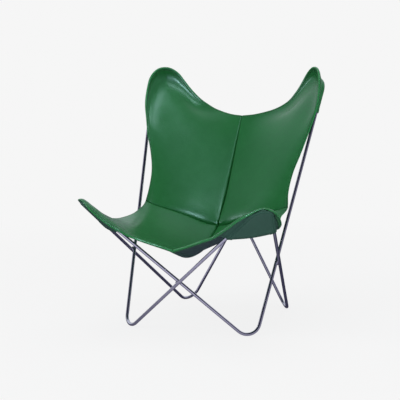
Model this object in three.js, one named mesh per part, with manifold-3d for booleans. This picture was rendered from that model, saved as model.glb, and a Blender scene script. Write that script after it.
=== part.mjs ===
import * as THREE from "three";
import Module from "manifold-3d";

const wasm = await Module();
wasm.setup();

// Sizes in millimetres. The chair faces -Y and +Z is up. Left and right are as seen from the front.
// A rod corner is the point where two straight runs of rod would meet if the rod were not bent.
const HALF_WIDTH = 344;
const EAR_SETBACK = 161.7;
const EAR_HEIGHT = 957.5;
const WING_INSET = 2.7;
const WING_REACH = 564.1;
const WING_HEIGHT = 478;
const FRONT_FOOT_REACH = 368.9;
const BACK_FOOT_HALF_WIDTH = 198.7;
const BACK_FOOT_SETBACK = 118.3;

const ROD_DIAMETER = 11;
const EAR_BEND_RADIUS = 58;
const WING_BEND_RADIUS = 42;
const FOOT_BEND_RADIUS = 46;
const FOOT_FLAT_DEPTH = 0.4;
const TOUCH_GAP = 0.3;

const WELD_LENGTH = 22;
const WELD_WIDTH = 13;
const WELD_DEPTH = 9;

const LEATHER_THICKNESS = 4;
const POCKET_THICKNESS = 3;
const HEM_WIDTH = 12;
const HEM_STEP = 1;
const RIM_BAND = 34;
const NARROW_RIM = 16;
const WIDE_RIM = 30;
const EAR_POCKET_DEPTH = 120;
const WING_POCKET_DEPTH = 125;
const POCKET_FADE = 80;
const POCKET_LIP = 16;
const STITCH_OFFSET = 10;
const FLANGE_WIDTH = 8;
const HEM_CLEAR_RATE = 8;
const SEAT_SAG = 0.3;
const BACK_SAG = 0;

const ROD_SIDES = 16;
const BEND_STEPS = 12;
const RIM_STEPS = 11;
const SIDE_STEPS = 14;
const RELAX_ROUNDS = 160;
const RELAX_PASSES = 4;
const FINE_STEPS = 240;

const ROD_RADIUS = ROD_DIAMETER / 2;
const CLEAR_RADIUS = ROD_RADIUS + TOUCH_GAP;
const REST_HEIGHT = CLEAR_RADIUS + LEATHER_THICKNESS / 2;
const POCKET_LIFT = LEATHER_THICKNESS / 2 + POCKET_THICKNESS / 2 + TOUCH_GAP;
const WRAP_RADIUS = (CLEAR_RADIUS + POCKET_THICKNESS / 2) * 1.08;

// Outline of the right half of the sling, from the middle of the top edge to the middle of the front edge.
// Middle places: share of the half-width, share of the way from wing to ear, and share of the height,
// where 1 is the wing corner and 2 the ear corner.
const TOP_MIDDLE_SHARES = [
  [0, 0.986, 1.459],
  [0.131, 0.998, 1.468],
  [0.27, 1.017, 1.493],
];
// Ear and wing places: shares of the pocket depth, measured from the top of the rod bend along the middle
// of the bend, sideways towards the outer rod, and square to the two rods towards the sitter.
const EAR_EDGE_SHARES = [
  [1.117, -1.367, 0.4],
  [0.933, -1.242, 0.275],
  [0.758, -1.09, 0.21],
  [0.558, -0.9, 0.21],
  [0.35, -0.745, 0.215],
  [0.142, -0.59, 0.245],
  [-0.075, -0.43, 0.285],
  [-0.205, -0.25, 0.32],
  [-0.262, -0.07, 0.345],
  [-0.268, 0.11, 0.345],
  [-0.22, 0.285, 0.35],
  [-0.105, 0.45, 0.35],
  [0.01, 0.555, 0.335],
  [0.125, 0.625, 0.31],
  [0.305, 0.69, 0.26],
  [0.675, 0.81, 0.19],
  [0.967, 0.865, 0.14],
  [1.358, 0.905, 0.11],
  [1.825, 0.95, 0.108],
];
const EAR_TIP_INDEX = 8;
const SIDE_MIDDLE_SHARES = [
  [0.822, 0.711, 1.191],
  [0.774, 0.676, 1.063],
  [0.76, 0.629, 0.932],
  [0.775, 0.6, 0.834],
  [0.767, 0.564, 0.804],
  [0.767, 0.508, 0.781],
  [0.789, 0.466, 0.756],
];
const ARMPIT_INDEX = 3;
const WING_EDGE_SHARES = [
  [1.608, 1.192, 0.448],
  [1.408, 1.024, 0.296],
  [1.136, 0.92, 0.168],
  [0.936, 0.88, 0.136],
  [0.712, 0.784, 0.108],
  [0.512, 0.68, 0.068],
  [0.288, 0.528, 0.016],
  [0.136, 0.424, -0.028],
  [-0.004, 0.28, -0.044],
  [-0.084, 0.152, -0.036],
  [-0.108, 0.04, -0.02],
  [-0.096, -0.072, -0.004],
  [-0.04, -0.24, -0.024],
  [0.008, -0.424, -0.056],
  [0.088, -0.576, -0.08],
  [0.2, -0.704, -0.088],
  [0.368, -0.816, -0.096],
  [0.552, -0.92, -0.08],
  [0.752, -1.016, -0.048],
  [0.952, -1.12, 0],
];
const WING_TIP_INDEX = 10;
const FRONT_MIDDLE_SHARES = [
  [0.377, 0.01, 0.71],
  [0.299, 0.021, 0.689],
  [0.211, 0.043, 0.664],
  [0.124, 0.064, 0.64],
  [0.042, 0.077, 0.62],
  [0, 0.081, 0.61],
];
// The middle seam from the top edge to the front edge, and the cross seam from the middle to the side edge.
const CENTRE_SHARES = [
  [0, 0.986, 1.459],
  [0, 0.929, 1.31],
  [0, 0.842, 1.089],
  [0, 0.756, 0.873],
  [0, 0.701, 0.754],
  [0, 0.647, 0.658],
  [0, 0.605, 0.624],
  [0, 0.562, 0.595],
  [0, 0.481, 0.554],
  [0, 0.391, 0.527],
  [0, 0.309, 0.522],
  [0, 0.226, 0.537],
  [0, 0.15, 0.57],
  [0, 0.081, 0.61],
];
const JUNCTION_INDEX = 5;
const SEAM_SHARES = [
  [0, 0.647, 0.658],
  [0.131, 0.635, 0.678],
  [0.262, 0.615, 0.718],
  [0.392, 0.595, 0.754],
  [0.523, 0.582, 0.783],
  [0.654, 0.58, 0.809],
  [0.775, 0.6, 0.834],
];

const rodSteel = new THREE.MeshStandardMaterial({ color: 0xd6d6da, metalness: 1, roughness: 0.12 });
const weldSteel = new THREE.MeshStandardMaterial({ color: 0xb9babd, metalness: 1, roughness: 0.3 });
const leather = new THREE.MeshStandardMaterial({ color: 0x25663a, metalness: 0, roughness: 0.45 });

const vec = (x, y, z) => new THREE.Vector3(x, y, z);
const smooth = (low, high, x) => THREE.MathUtils.smoothstep(x, low, high);
const mix = (a, b, share) => a.clone().lerp(b, share);

function runDirection(from, to) {
  return to.clone().sub(from).normalize();
}

// The steps of one rod bend: places on the centreline and the directions along it.
function bendRings(before, corner, after, radius) {
  const back = runDirection(corner, before);
  const on = runDirection(corner, after);
  const half = back.angleTo(on) / 2;
  const reach = radius / Math.tan(half);
  const start = corner.clone().addScaledVector(back, reach);
  const hub = corner.clone().addScaledVector(back.clone().add(on).normalize(), radius / Math.sin(half));
  const spoke = start.clone().sub(hub).normalize();
  const ahead = back.clone().negate();
  const turn = Math.PI - 2 * half;
  const rings = [];
  for (let i = 0; i <= BEND_STEPS; i++) {
    const angle = (turn * i) / BEND_STEPS;
    const cos = Math.cos(angle);
    const sin = Math.sin(angle);
    rings.push({
      at: hub.clone().addScaledVector(spoke, radius * cos).addScaledVector(ahead, radius * sin),
      along: ahead.clone().multiplyScalar(cos).addScaledVector(spoke, -sin).normalize(),
    });
  }
  return rings;
}

function loopRings(corners) {
  const rings = [];
  corners.forEach((corner, i) => {
    const before = corners[(i + corners.length - 1) % corners.length].place;
    const after = corners[(i + 1) % corners.length].place;
    rings.push(...bendRings(before, corner.place, after, corner.radius));
  });
  return rings;
}

// Loops pass one in front of the other, so each is moved by half a rod and half a gap, square to its run.
function passShift(from, to) {
  const run = to.clone().sub(from);
  return ((ROD_DIAMETER + TOUCH_GAP) / 2) * (Math.hypot(run.y, run.z) / Math.abs(run.z));
}

// Corners of the loop whose ear is on the given side: ear, front foot, far wing, far back foot.
function loopCorners(side, footHalfWidth, frontFootHeight, backFootHeight) {
  const ear = vec(side * HALF_WIDTH, EAR_SETBACK, EAR_HEIGHT);
  const frontFoot = vec(side * footHalfWidth, -FRONT_FOOT_REACH, frontFootHeight);
  const wing = vec(-side * (HALF_WIDTH - WING_INSET), -WING_REACH, WING_HEIGHT);
  const backFoot = vec(-side * BACK_FOOT_HALF_WIDTH, BACK_FOOT_SETBACK, backFootHeight);
  const front = side * passShift(frontFoot, wing);
  const rear = side * passShift(backFoot, ear);
  frontFoot.y += front;
  wing.y += front;
  backFoot.y += rear;
  ear.y += rear;
  return [
    { place: ear, radius: EAR_BEND_RADIUS },
    { place: frontFoot, radius: FOOT_BEND_RADIUS },
    { place: wing, radius: WING_BEND_RADIUS },
    { place: backFoot, radius: FOOT_BEND_RADIUS },
  ];
}

// Foot corners sit so low that each bend just reaches the floor, less the small flat dressed on it.
function settledCorners(side, footHalfWidth) {
  let frontHeight = 0;
  let backHeight = 0;
  let corners = loopCorners(side, footHalfWidth, frontHeight, backHeight);
  for (let round = 0; round < 8; round++) {
    const low = [1, 3].map((i) => {
      const next = corners[(i + 1) % corners.length].place;
      const rings = bendRings(corners[i - 1].place, corners[i].place, next, FOOT_BEND_RADIUS);
      return Math.min(...rings.map((ring) => ring.at.z)) - ROD_RADIUS + FOOT_FLAT_DEPTH;
    });
    frontHeight -= low[0];
    backHeight -= low[1];
    corners = loopCorners(side, footHalfWidth, frontHeight, backHeight);
  }
  return corners;
}

// How far the outer rod passes outside the inner one where they cross at the chair's side.
function sideClearance(side, inner, outer) {
  const from = inner[0].place;
  const along = runDirection(inner[0].place, inner[1].place);
  const outerAlong = runDirection(outer[2].place, outer[3].place);
  const square = along.clone().cross(outerAlong).normalize();
  if (square.x * side < 0) square.negate();
  return outer[2].place.clone().sub(from).dot(square);
}

// The front feet stand as wide apart as lets each ear rod just touch the wing rod it passes.
function frameCorners() {
  const widths = { left: BACK_FOOT_HALF_WIDTH, right: BACK_FOOT_HALF_WIDTH };
  const build = () => ({
    left: settledCorners(-1, widths.left),
    right: settledCorners(1, widths.right),
  });
  const excess = (frame, name) => {
    const side = name === "left" ? -1 : 1;
    const outer = name === "left" ? frame.right : frame.left;
    return sideClearance(side, frame[name], outer) - ROD_DIAMETER - TOUCH_GAP;
  };
  const probe = ROD_RADIUS;
  for (let round = 0; round < 10; round++) {
    for (const name of ["left", "right"]) {
      const here = excess(build(), name);
      widths[name] += probe;
      const there = excess(build(), name);
      const slope = (there - here) / probe;
      widths[name] += -probe - here / slope;
    }
  }
  return build();
}

class RodPath extends THREE.Curve {
  constructor(rings) {
    super();
    this.rings = rings;
  }
  ring(u) {
    return this.rings[Math.round(u * this.rings.length) % this.rings.length];
  }
  getPointAt(u, target = new THREE.Vector3()) {
    return target.copy(this.ring(u).at);
  }
  getPoint(u, target = new THREE.Vector3()) {
    return target.copy(this.ring(u).at);
  }
  getTangentAt(u, target = new THREE.Vector3()) {
    return target.copy(this.ring(u).along);
  }
}

function solidFrom(positions, triangles) {
  const solid = new wasm.Manifold(
    new wasm.Mesh({
      numProp: 3,
      vertProperties: new Float32Array(positions.flatMap((p) => [p.x, p.y, p.z])),
      triVerts: new Uint32Array(triangles.flat()),
    }),
  );
  if (solid.volume() >= 0) return solid;
  return solidFrom(positions, triangles.map(([a, b, c]) => [a, c, b]));
}

function solidOfGeometry(geometry) {
  const at = geometry.getAttribute("position");
  const keys = new Map();
  const positions = [];
  const index = [];
  for (let i = 0; i < at.count; i++) {
    const p = vec(at.getX(i), at.getY(i), at.getZ(i));
    const key = p.toArray().map((c) => c.toFixed(4)).join(" ");
    if (!keys.has(key)) {
      keys.set(key, positions.length);
      positions.push(p);
    }
    index.push(keys.get(key));
  }
  const triangles = [];
  for (let i = 0; i < geometry.index.count; i += 3) {
    const t = [0, 1, 2].map((k) => index[geometry.index.getX(i + k)]);
    if (new Set(t).size === 3) triangles.push(t);
  }
  return solidFrom(positions, triangles);
}

function biggestBody(solid) {
  const bodies = solid.decompose();
  return bodies.reduce((best, body) => (body.volume() > best.volume() ? body : best));
}

function meshFrom(solid, name, material) {
  const data = solid.getMesh();
  const geometry = new THREE.BufferGeometry();
  const positions = new Float32Array(data.numVert * 3);
  for (let i = 0; i < data.numVert; i++) {
    positions.set(data.vertProperties.subarray(i * data.numProp, i * data.numProp + 3), i * 3);
  }
  geometry.setAttribute("position", new THREE.BufferAttribute(positions, 3));
  geometry.setIndex(new THREE.BufferAttribute(data.triVerts.slice(), 1));
  geometry.computeVertexNormals();
  const mesh = new THREE.Mesh(geometry, material);
  mesh.name = name;
  return mesh;
}

function rodSolid(corners, radius) {
  const rings = loopRings(corners);
  return solidOfGeometry(new THREE.TubeGeometry(new RodPath(rings), rings.length, radius, ROD_SIDES, true));
}

// A weld fills the corners between two crossing rods.
function weldSolid(run, otherRun, rodSolids) {
  const d = runDirection(run[0], run[1]);
  const e = runDirection(otherRun[0], otherRun[1]);
  if (d.dot(e) < 0) e.negate();
  const square = d.clone().cross(e).normalize();
  const between = otherRun[0].clone().sub(run[0]);
  const gap = between.dot(square);
  const flat = between.addScaledVector(square, -gap);
  const step = flat.clone().cross(e).dot(square) / d.clone().cross(e).dot(square);
  const centre = run[0].clone().addScaledVector(d, step).addScaledVector(square, gap / 2);
  const long = d.clone().add(e).normalize();
  const basis = new THREE.Matrix4().makeBasis(long, square.clone().cross(long), square);
  const blob = new THREE.SphereGeometry(1, ROD_SIDES, ROD_SIDES / 2);
  blob.scale(WELD_LENGTH / 2, WELD_WIDTH / 2, WELD_DEPTH / 2);
  blob.applyMatrix4(basis.setPosition(centre));
  return biggestBody(rodSolids.reduce((solid, rod) => solid.subtract(rod), solidOfGeometry(blob)));
}

// The local frame of a rod bend, seen from its corner: down its middle, out to the outer rod, and square
// to both towards the sitter.
function bendFrame(corner, outerEnd, innerEnd, radius, depth) {
  const outer = runDirection(corner, outerEnd);
  const inner = runDirection(corner, innerEnd);
  const down = outer.clone().add(inner).normalize();
  const out = outer.clone().addScaledVector(down, -outer.dot(down)).normalize();
  const face = out.clone().cross(down).normalize();
  if (face.z < 0) face.negate();
  const half = outer.angleTo(down);
  return { corner, down, out, face, half, radius, depth, apex: radius / Math.sin(half) - radius };
}

const toWorld = (bend, a, l, h) =>
  bend.corner
    .clone()
    .addScaledVector(bend.down, a)
    .addScaledVector(bend.out, l)
    .addScaledVector(bend.face, h);

function toLocal(bend, p) {
  const from = p.clone().sub(bend.corner);
  return { a: from.dot(bend.down), l: from.dot(bend.out), h: from.dot(bend.face) };
}

// The nearest place on the rod centreline, the outward direction there and how far outside the point is.
function nearestOnRod(bend, a, l) {
  const hub = bend.radius / Math.sin(bend.half);
  const swing = Math.atan2(Math.abs(l), hub - a);
  if (swing <= Math.PI / 2 - bend.half) {
    const reach = Math.hypot(a - hub, l);
    const outA = (a - hub) / reach;
    const outL = l / reach;
    const at = { a: hub + outA * bend.radius, l: outL * bend.radius };
    return { ...at, outA, outL, off: reach - bend.radius };
  }
  const hand = l < 0 ? -1 : 1;
  const cos = Math.cos(bend.half);
  const sin = Math.sin(bend.half);
  const along = a * cos + Math.abs(l) * sin;
  return {
    a: along * cos,
    l: hand * along * sin,
    outA: -sin,
    outL: hand * cos,
    off: Math.abs(l) * cos - a * sin,
  };
}

// Keeps a point of the leather's middle surface on the sitter's side of the rods.
function keepOff(bend, p) {
  const { a, l, h } = toLocal(bend, p);
  const { off } = nearestOnRod(bend, a, l);
  if (Math.abs(off) >= REST_HEIGHT) return;
  const least = Math.sqrt(REST_HEIGHT * REST_HEIGHT - off * off);
  if (h < least && h > -WIDE_RIM) p.addScaledVector(bend.face, least - h);
}

function middlePlace(side, [across, back, up]) {
  const z = up < 1 ? up * WING_HEIGHT : THREE.MathUtils.lerp(WING_HEIGHT, EAR_HEIGHT, up - 1);
  return vec(side * across * HALF_WIDTH, THREE.MathUtils.lerp(-WING_REACH, EAR_SETBACK, back), z);
}

// An edge place near a bend, pushed out where the rod would otherwise run past the leather's edge.
function bendPlace(bend, [down, out, up]) {
  const a = bend.apex + down * bend.depth;
  const l = out * bend.depth;
  const h = up * bend.depth;
  const near = nearestOnRod(bend, a, l);
  const least = Math.max(STITCH_OFFSET - Math.max(0, h - REST_HEIGHT), REST_HEIGHT);
  const push = down < 1 ? Math.max(0, least - near.off) : 0;
  return toWorld(bend, a + near.outA * push, l + near.outL * push, h);
}

// Places along part of a curve, spread by arc length with a chosen crowding towards its start or end.
function stations(curve, from, to, count, ease) {
  const points = [];
  const lengths = [0];
  for (let i = 0; i <= FINE_STEPS; i++) {
    points.push(curve.getPoint(THREE.MathUtils.lerp(from, to, i / FINE_STEPS)));
    if (i) lengths.push(lengths[i - 1] + points[i].distanceTo(points[i - 1]));
  }
  const total = lengths[FINE_STEPS];
  const placed = [];
  for (let i = 0; i <= count; i++) {
    const wanted = total * ease(i / count);
    let k = 1;
    while (k < FINE_STEPS && lengths[k] < wanted) k++;
    const share = (wanted - lengths[k - 1]) / (lengths[k] - lengths[k - 1]);
    placed.push(mix(points[k - 1], points[k], share));
  }
  return placed;
}

const crowdEnd = (x) => 1 - Math.pow(1 - x, 1.3);
const crowdStart = (x) => Math.pow(x, 1.45);

const smoothCurve = (points) => new THREE.CatmullRomCurve3(points, false, "centripetal");

// The curves round one half of the sling, as places for the back panel and the seat panel.
// Both panels run from a rim at the top or front (row 0) to the cross seam (last row),
// and from the middle seam (column 0) to the side edge (last column).
function halfOutline(side, ear, wing) {
  const outline = [
    ...TOP_MIDDLE_SHARES.map((share) => middlePlace(side, share)),
    ...EAR_EDGE_SHARES.map((share) => bendPlace(ear, share)),
    ...SIDE_MIDDLE_SHARES.map((share) => middlePlace(side, share)),
    ...WING_EDGE_SHARES.map((share) => bendPlace(wing, share)),
    ...FRONT_MIDDLE_SHARES.map((share) => middlePlace(side, share)),
  ];
  const last = outline.length - 1;
  const earTip = (TOP_MIDDLE_SHARES.length + EAR_TIP_INDEX) / last;
  const armpitIndex = TOP_MIDDLE_SHARES.length + EAR_EDGE_SHARES.length + ARMPIT_INDEX;
  const armpit = armpitIndex / last;
  const wingStart = armpitIndex - ARMPIT_INDEX + SIDE_MIDDLE_SHARES.length;
  const wingTip = (wingStart + WING_TIP_INDEX) / last;
  const edge = smoothCurve(outline);
  const centre = smoothCurve(CENTRE_SHARES.map((share) => middlePlace(side, share)));
  const junction = JUNCTION_INDEX / (CENTRE_SHARES.length - 1);
  const seam = smoothCurve(SEAM_SHARES.map((share) => middlePlace(side, share)));
  const across = stations(seam, 0, 1, RIM_STEPS, crowdEnd);
  return {
    back: {
      rim: stations(edge, 0, earTip, RIM_STEPS, crowdEnd),
      side: stations(edge, earTip, armpit, SIDE_STEPS, crowdStart),
      middle: stations(centre, 0, junction, SIDE_STEPS, crowdStart),
      seam: across,
    },
    seat: {
      rim: stations(edge, 1, wingTip, RIM_STEPS, crowdEnd),
      side: stations(edge, wingTip, armpit, SIDE_STEPS, crowdStart),
      middle: stations(centre, 1, junction, SIDE_STEPS, crowdStart),
      seam: across,
    },
  };
}

// A grid between four sides, first blended from them and then drawn taut.
function blendedGrid(rim, side, seam, middle) {
  const rows = middle.length - 1;
  const columns = rim.length - 1;
  const grid = [];
  for (let i = 0; i <= rows; i++) {
    const s = i / rows;
    grid.push([]);
    for (let j = 0; j <= columns; j++) {
      const t = j / columns;
      const p = mix(rim[j], seam[j], s).add(mix(middle[i], side[i], t));
      p.sub(mix(mix(rim[0], rim[columns], t), mix(seam[0], seam[columns], t), s));
      grid[i].push(p);
    }
  }
  return grid;
}

function drawTaut(grid, load, bend, rounds) {
  const down = vec(0, 0, -load);
  for (let round = 0; round < rounds; round++) {
    for (let i = 1; i < grid.length - 1; i++) {
      for (let j = 1; j < grid[i].length - 1; j++) {
        const p = grid[i][j];
        p.copy(grid[i - 1][j]).add(grid[i + 1][j]).add(grid[i][j - 1]).add(grid[i][j + 1]);
        p.multiplyScalar(1 / 4).add(down);
        keepOff(bend, p);
      }
    }
  }
}

// The grid points round the border, in order: rim outwards, side, seam inwards, middle back to the start.
function borderCells(rows, columns) {
  const cells = [];
  for (let j = 0; j < columns; j++) cells.push([0, j]);
  for (let i = 0; i < rows; i++) cells.push([i, columns]);
  for (let j = columns; j > 0; j--) cells.push([rows, j]);
  for (let i = rows; i > 0; i--) cells.push([i, 0]);
  return cells;
}

function unitAcross(direction, tangent) {
  return direction.clone().addScaledVector(tangent, -direction.dot(tangent)).normalize();
}

// One panel's middle surface: an inner grid, and a band round it that ends at the panel's edge.
function panelSurface(sides, bend, load) {
  const rows = SIDE_STEPS;
  const columns = RIM_STEPS;
  const cells = borderCells(rows, columns);
  const edgeGrid = blendedGrid(sides.rim, sides.side, sides.seam, sides.middle);
  drawTaut(edgeGrid, load, bend, RELAX_ROUNDS);
  const edge = cells.map(([i, j]) => edgeGrid[i][j].clone());
  const count = edge.length;
  const corners = new Set([0, columns + rows, 2 * columns + rows]);

  const inwardAt = (k, target) => {
    const before = edge[(k + count - 1) % count];
    const after = edge[(k + 1) % count];
    if (!corners.has(k)) {
      return unitAcross(target.clone().sub(edge[k]), runDirection(before, after)).multiplyScalar(RIM_BAND);
    }
    const back = runDirection(edge[k], before);
    const on = runDirection(edge[k], after);
    return back.add(on).multiplyScalar(RIM_BAND);
  };
  const grid = edgeGrid.map((row) => row.map((p) => p.clone()));
  const band = [];
  for (let pass = 0; pass < RELAX_PASSES; pass++) {
    cells.forEach(([i, j], k) => {
      const inI = THREE.MathUtils.clamp(i, 1, rows - 1);
      const inJ = THREE.MathUtils.clamp(j, 1, columns - 1);
      const free = edge[k].clone().add(inwardAt(k, grid[inI][inJ]));
      const freeTurn = mix(edge[k], free, 1 / 2);
      const { a, l, h } = toLocal(bend, edge[k]);
      const near = nearestOnRod(bend, a, l);
      const onEdge = k < columns + rows && k > 0;
      const fade = smooth(bend.depth, bend.depth + POCKET_FADE, near.a - bend.apex);
      const held = onEdge ? 1 - fade : 0;
      const rest = toWorld(bend, near.a, near.l, REST_HEIGHT);
      const reach = near.off * smooth(0, NARROW_RIM, Math.abs(h) + near.off);
      const restTurn = toWorld(bend, near.a + near.outA * reach, near.l + near.outL * reach, REST_HEIGHT);
      const inner = mix(free, rest, held);
      keepOff(bend, inner);
      band[k] = { edge: edge[k], turn: mix(freeTurn, restTurn, held), inner, held, near, h };
      grid[i][j].copy(inner);
    });
    if (pass === 0) {
      const ring = (list) => list.map((k) => band[k].inner);
      const span = (from, to, step) => {
        const list = [];
        for (let k = from; k !== to + step; k += step) list.push((k + count) % count);
        return list;
      };
      const rim = ring(span(0, columns, 1));
      const side = ring(span(columns, columns + rows, 1));
      const seam = ring(span(2 * columns + rows, columns + rows, -1));
      const middle = ring(span(count, 2 * columns + rows, -1));
      blendedGrid(rim, side, seam, middle).forEach((row, i) => row.forEach((p, j) => grid[i][j].copy(p)));
    }
    drawTaut(grid, load, bend, RELAX_ROUNDS);
  }
  return { grid, band, cells, rows, columns, bend };
}

// A place on the band between the panel's edge (share 0) and its inner border (share 1).
function bandPlace({ edge, turn, inner }, share) {
  const rest = 1 - share;
  return edge
    .clone()
    .multiplyScalar(rest * rest)
    .addScaledVector(turn, 2 * rest * share)
    .addScaledVector(inner, share * share);
}

function bandLength(strip) {
  let length = 0;
  for (let i = 1; i <= 8; i++) {
    length += bandPlace(strip, i / 8).distanceTo(bandPlace(strip, (i - 1) / 8));
  }
  return length;
}

// The share of the band at a distance from its edge.
function bandShare(strip, distance) {
  let left = distance;
  for (let i = 1; i <= FINE_STEPS; i++) {
    const from = bandPlace(strip, (i - 1) / FINE_STEPS);
    const step = bandPlace(strip, i / FINE_STEPS).distanceTo(from);
    if (left <= step) return (i - 1 + left / step) / FINE_STEPS;
    left -= step;
  }
  return 1;
}

// Normals of a triangle mesh at its points, weighted by area and turned to face the sitter.
function pointNormals(points, triangles, towards) {
  const normals = points.map(() => vec(0, 0, 0));
  const total = vec(0, 0, 0);
  for (const [a, b, c] of triangles) {
    const square = points[b].clone().sub(points[a]).cross(points[c].clone().sub(points[a]));
    [a, b, c].forEach((k) => normals[k].add(square));
    total.add(square);
  }
  const hand = total.dot(towards) < 0 ? -1 : 1;
  return normals.map((n) => n.normalize().multiplyScalar(hand));
}

// A closed sheet solid from a middle surface, with its own thickness in front and behind at each point.
function sheetSolid(points, triangles, normals, front, behind) {
  const count = points.length;
  const positions = points.map((p, k) => p.clone().addScaledVector(normals[k], front[k]));
  points.forEach((p, k) => positions.push(p.clone().addScaledVector(normals[k], -behind[k])));
  const faces = [];
  const edges = new Map();
  for (const [a, b, c] of triangles) {
    faces.push([a, b, c], [count + a, count + c, count + b]);
    [[a, b], [b, c], [c, a]].forEach(([p, q]) => edges.set(p + " " + q, [p, q]));
  }
  for (const [p, q] of edges.values()) {
    if (edges.has(q + " " + p)) continue;
    faces.push([q, p, count + p], [q, count + p, count + q]);
  }
  return solidFrom(positions, faces);
}

// The sheet of one panel, with a turned hem or seam allowance doubled behind its border.
function panelSolid(surface, seamNormals, rodSolids, grow) {
  const { grid, band, cells, rows, columns } = surface;
  const points = [];
  const front = [];
  const behind = [];
  const half = LEATHER_THICKNESS / 2;
  const add = (p, back) => {
    points.push(p);
    front.push(half + grow);
    behind.push(back + grow);
    return points.length - 1;
  };
  const index = grid.map((row) => row.map((p) => add(p, half)));
  const rings = band.map((strip) => {
    const length = bandLength(strip);
    const hem = smooth(NARROW_RIM, WIDE_RIM, length);
    const width = Math.min(HEM_WIDTH, length / 2);
    const thick = half + hem * LEATHER_THICKNESS;
    const hemShare = bandShare(strip, width);
    const stepShare = bandShare(strip, width + Math.min(HEM_STEP, length / 8));
    return [
      add(strip.edge.clone(), thick),
      add(bandPlace(strip, hemShare), thick),
      add(bandPlace(strip, stepShare), half),
      add(bandPlace(strip, (1 + stepShare) / 2), half),
    ];
  });
  const triangles = [];
  const quad = (a, b, c, d) => triangles.push([a, b, c], [a, c, d]);
  for (let i = 0; i < rows; i++) {
    for (let j = 0; j < columns; j++) {
      const cell = [index[i][j], index[i + 1][j], index[i + 1][j + 1], index[i][j + 1]];
      const atTip = i === 0 && j === columns - 1;
      if (atTip) quad(cell[3], cell[0], cell[1], cell[2]);
      else quad(...cell);
    }
  }
  const count = cells.length;
  const ringAt = (k) => [...rings[k], index[cells[k][0]][cells[k][1]]];
  for (let k = 0; k < count; k++) {
    const here = ringAt(k);
    const next = ringAt((k + 1) % count);
    for (let r = 0; r + 1 < here.length; r++) quad(here[r], here[r + 1], next[r + 1], next[r]);
  }
  const towards = surface.bend.face;
  const normals = pointNormals(points, triangles, towards);
  seamNormals.forEach((normal, k) => {
    if (normal) normals[rings[k][0]].copy(normal);
  });
  let solid = sheetSolid(points, triangles, normals, front, behind);
  for (const rod of rodSolids) solid = solid.subtract(rod);
  return biggestBody(solid);
}

// A pocket behind a bend: it follows the band of the panel outside the rods, and wraps behind them.
function pocketSolid(surface, clearSolids) {
  const { band, bend, rows, columns } = surface;
  const stationsRound = [];
  for (let k = 1; k < columns + rows; k++) {
    const strip = band[k];
    const length = bandLength(strip);
    const wide = smooth(NARROW_RIM, WIDE_RIM, length);
    const outward = bend.down
      .clone()
      .multiplyScalar(strip.near.outA)
      .addScaledVector(bend.out, strip.near.outL);
    const axis = toWorld(bend, strip.near.a, strip.near.l, 0);
    const wrap = (angle) =>
      axis
        .clone()
        .addScaledVector(outward, WRAP_RADIUS * Math.cos(angle))
        .addScaledVector(bend.face, -WRAP_RADIUS * Math.sin(angle));
    const along = length - Math.min(1, wide * HEM_CLEAR_RATE) * (HEM_WIDTH + HEM_STEP * 2);
    const flangeEnd = Math.min(STITCH_OFFSET + FLANGE_WIDTH, along);
    const flangeStart = Math.min(STITCH_OFFSET, flangeEnd / 2);
    const hang = (fromRod) => {
      const share = bandShare(strip, length - fromRod);
      const p = bandPlace(strip, share);
      const step = 1 / FINE_STEPS;
      const tangent = bandPlace(strip, Math.max(0, share - step));
      tangent.sub(bandPlace(strip, Math.min(1, share + step))).normalize();
      const round = outward.clone().cross(bend.face);
      const square = tangent.clone().cross(round).normalize();
      if (square.dot(bend.face.clone().addScaledVector(outward, -1)) < 0) square.negate();
      const lift = mix(bend.face, square, wide).normalize();
      return p.addScaledVector(lift, -POCKET_LIFT - TOUCH_GAP);
    };
    const low = wrap(THREE.MathUtils.lerp(Math.PI / 5, Math.PI / 14, wide));
    const tip = hang(flangeEnd);
    const start = mix(mix(low, tip, 1 / 2), hang(flangeStart), wide);
    stationsRound.push({
      reach: strip.near.a - bend.apex,
      places: [tip, start, low, wrap(Math.PI / 3), wrap(Math.PI / 2)].concat(
        axis.clone().addScaledVector(outward, -POCKET_LIP).addScaledVector(bend.face, -WRAP_RADIUS),
      ),
    });
  }
  // The two arms are cut off where the pocket's mouth runs straight across.
  const inside = stationsRound.filter((s) => s.reach < bend.depth);
  const first = stationsRound.indexOf(inside[0]);
  const last = stationsRound.indexOf(inside[inside.length - 1]);
  const cutOff = (outer, inner) => {
    const share = (bend.depth - inner.reach) / (outer.reach - inner.reach);
    return { reach: bend.depth, places: inner.places.map((p, k) => mix(p, outer.places[k], share)) };
  };
  const arms = [...inside];
  if (first > 0) arms.unshift(cutOff(stationsRound[first - 1], inside[0]));
  if (last + 1 < stationsRound.length) arms.push(cutOff(stationsRound[last + 1], inside[inside.length - 1]));
  const points = [];
  const rings = arms.map(({ places }) => places.map((p) => points.push(p) - 1));
  const triangles = [];
  for (let k = 0; k + 1 < rings.length; k++) {
    for (let r = 0; r + 1 < rings[k].length; r++) {
      triangles.push([rings[k][r], rings[k][r + 1], rings[k + 1][r + 1]]);
      triangles.push([rings[k][r], rings[k + 1][r + 1], rings[k + 1][r]]);
    }
  }
  // The flat between the arms is filled from the tip to the mouth.
  const inner = rings.map((ring) => ring[ring.length - 1]);
  const reach = arms.map((arm) => arm.reach);
  let low = reach.indexOf(Math.min(...reach));
  let high = low + 1;
  low = Math.max(low, 0);
  while (low > 0 || high < inner.length - 1) {
    const takeLow = high >= inner.length - 1 || (low > 0 && reach[low - 1] <= reach[high + 1]);
    if (takeLow) {
      triangles.push([inner[low], inner[low - 1], inner[high]]);
      low -= 1;
    } else {
      triangles.push([inner[low], inner[high + 1], inner[high]]);
      high += 1;
    }
  }
  const normals = pointNormals(points, triangles, bend.face);
  const half = points.map(() => POCKET_THICKNESS / 2);
  let solid = sheetSolid(points, triangles, normals, half, half);
  for (const clear of clearSolids) solid = solid.subtract(clear);
  return biggestBody(solid);
}

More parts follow.
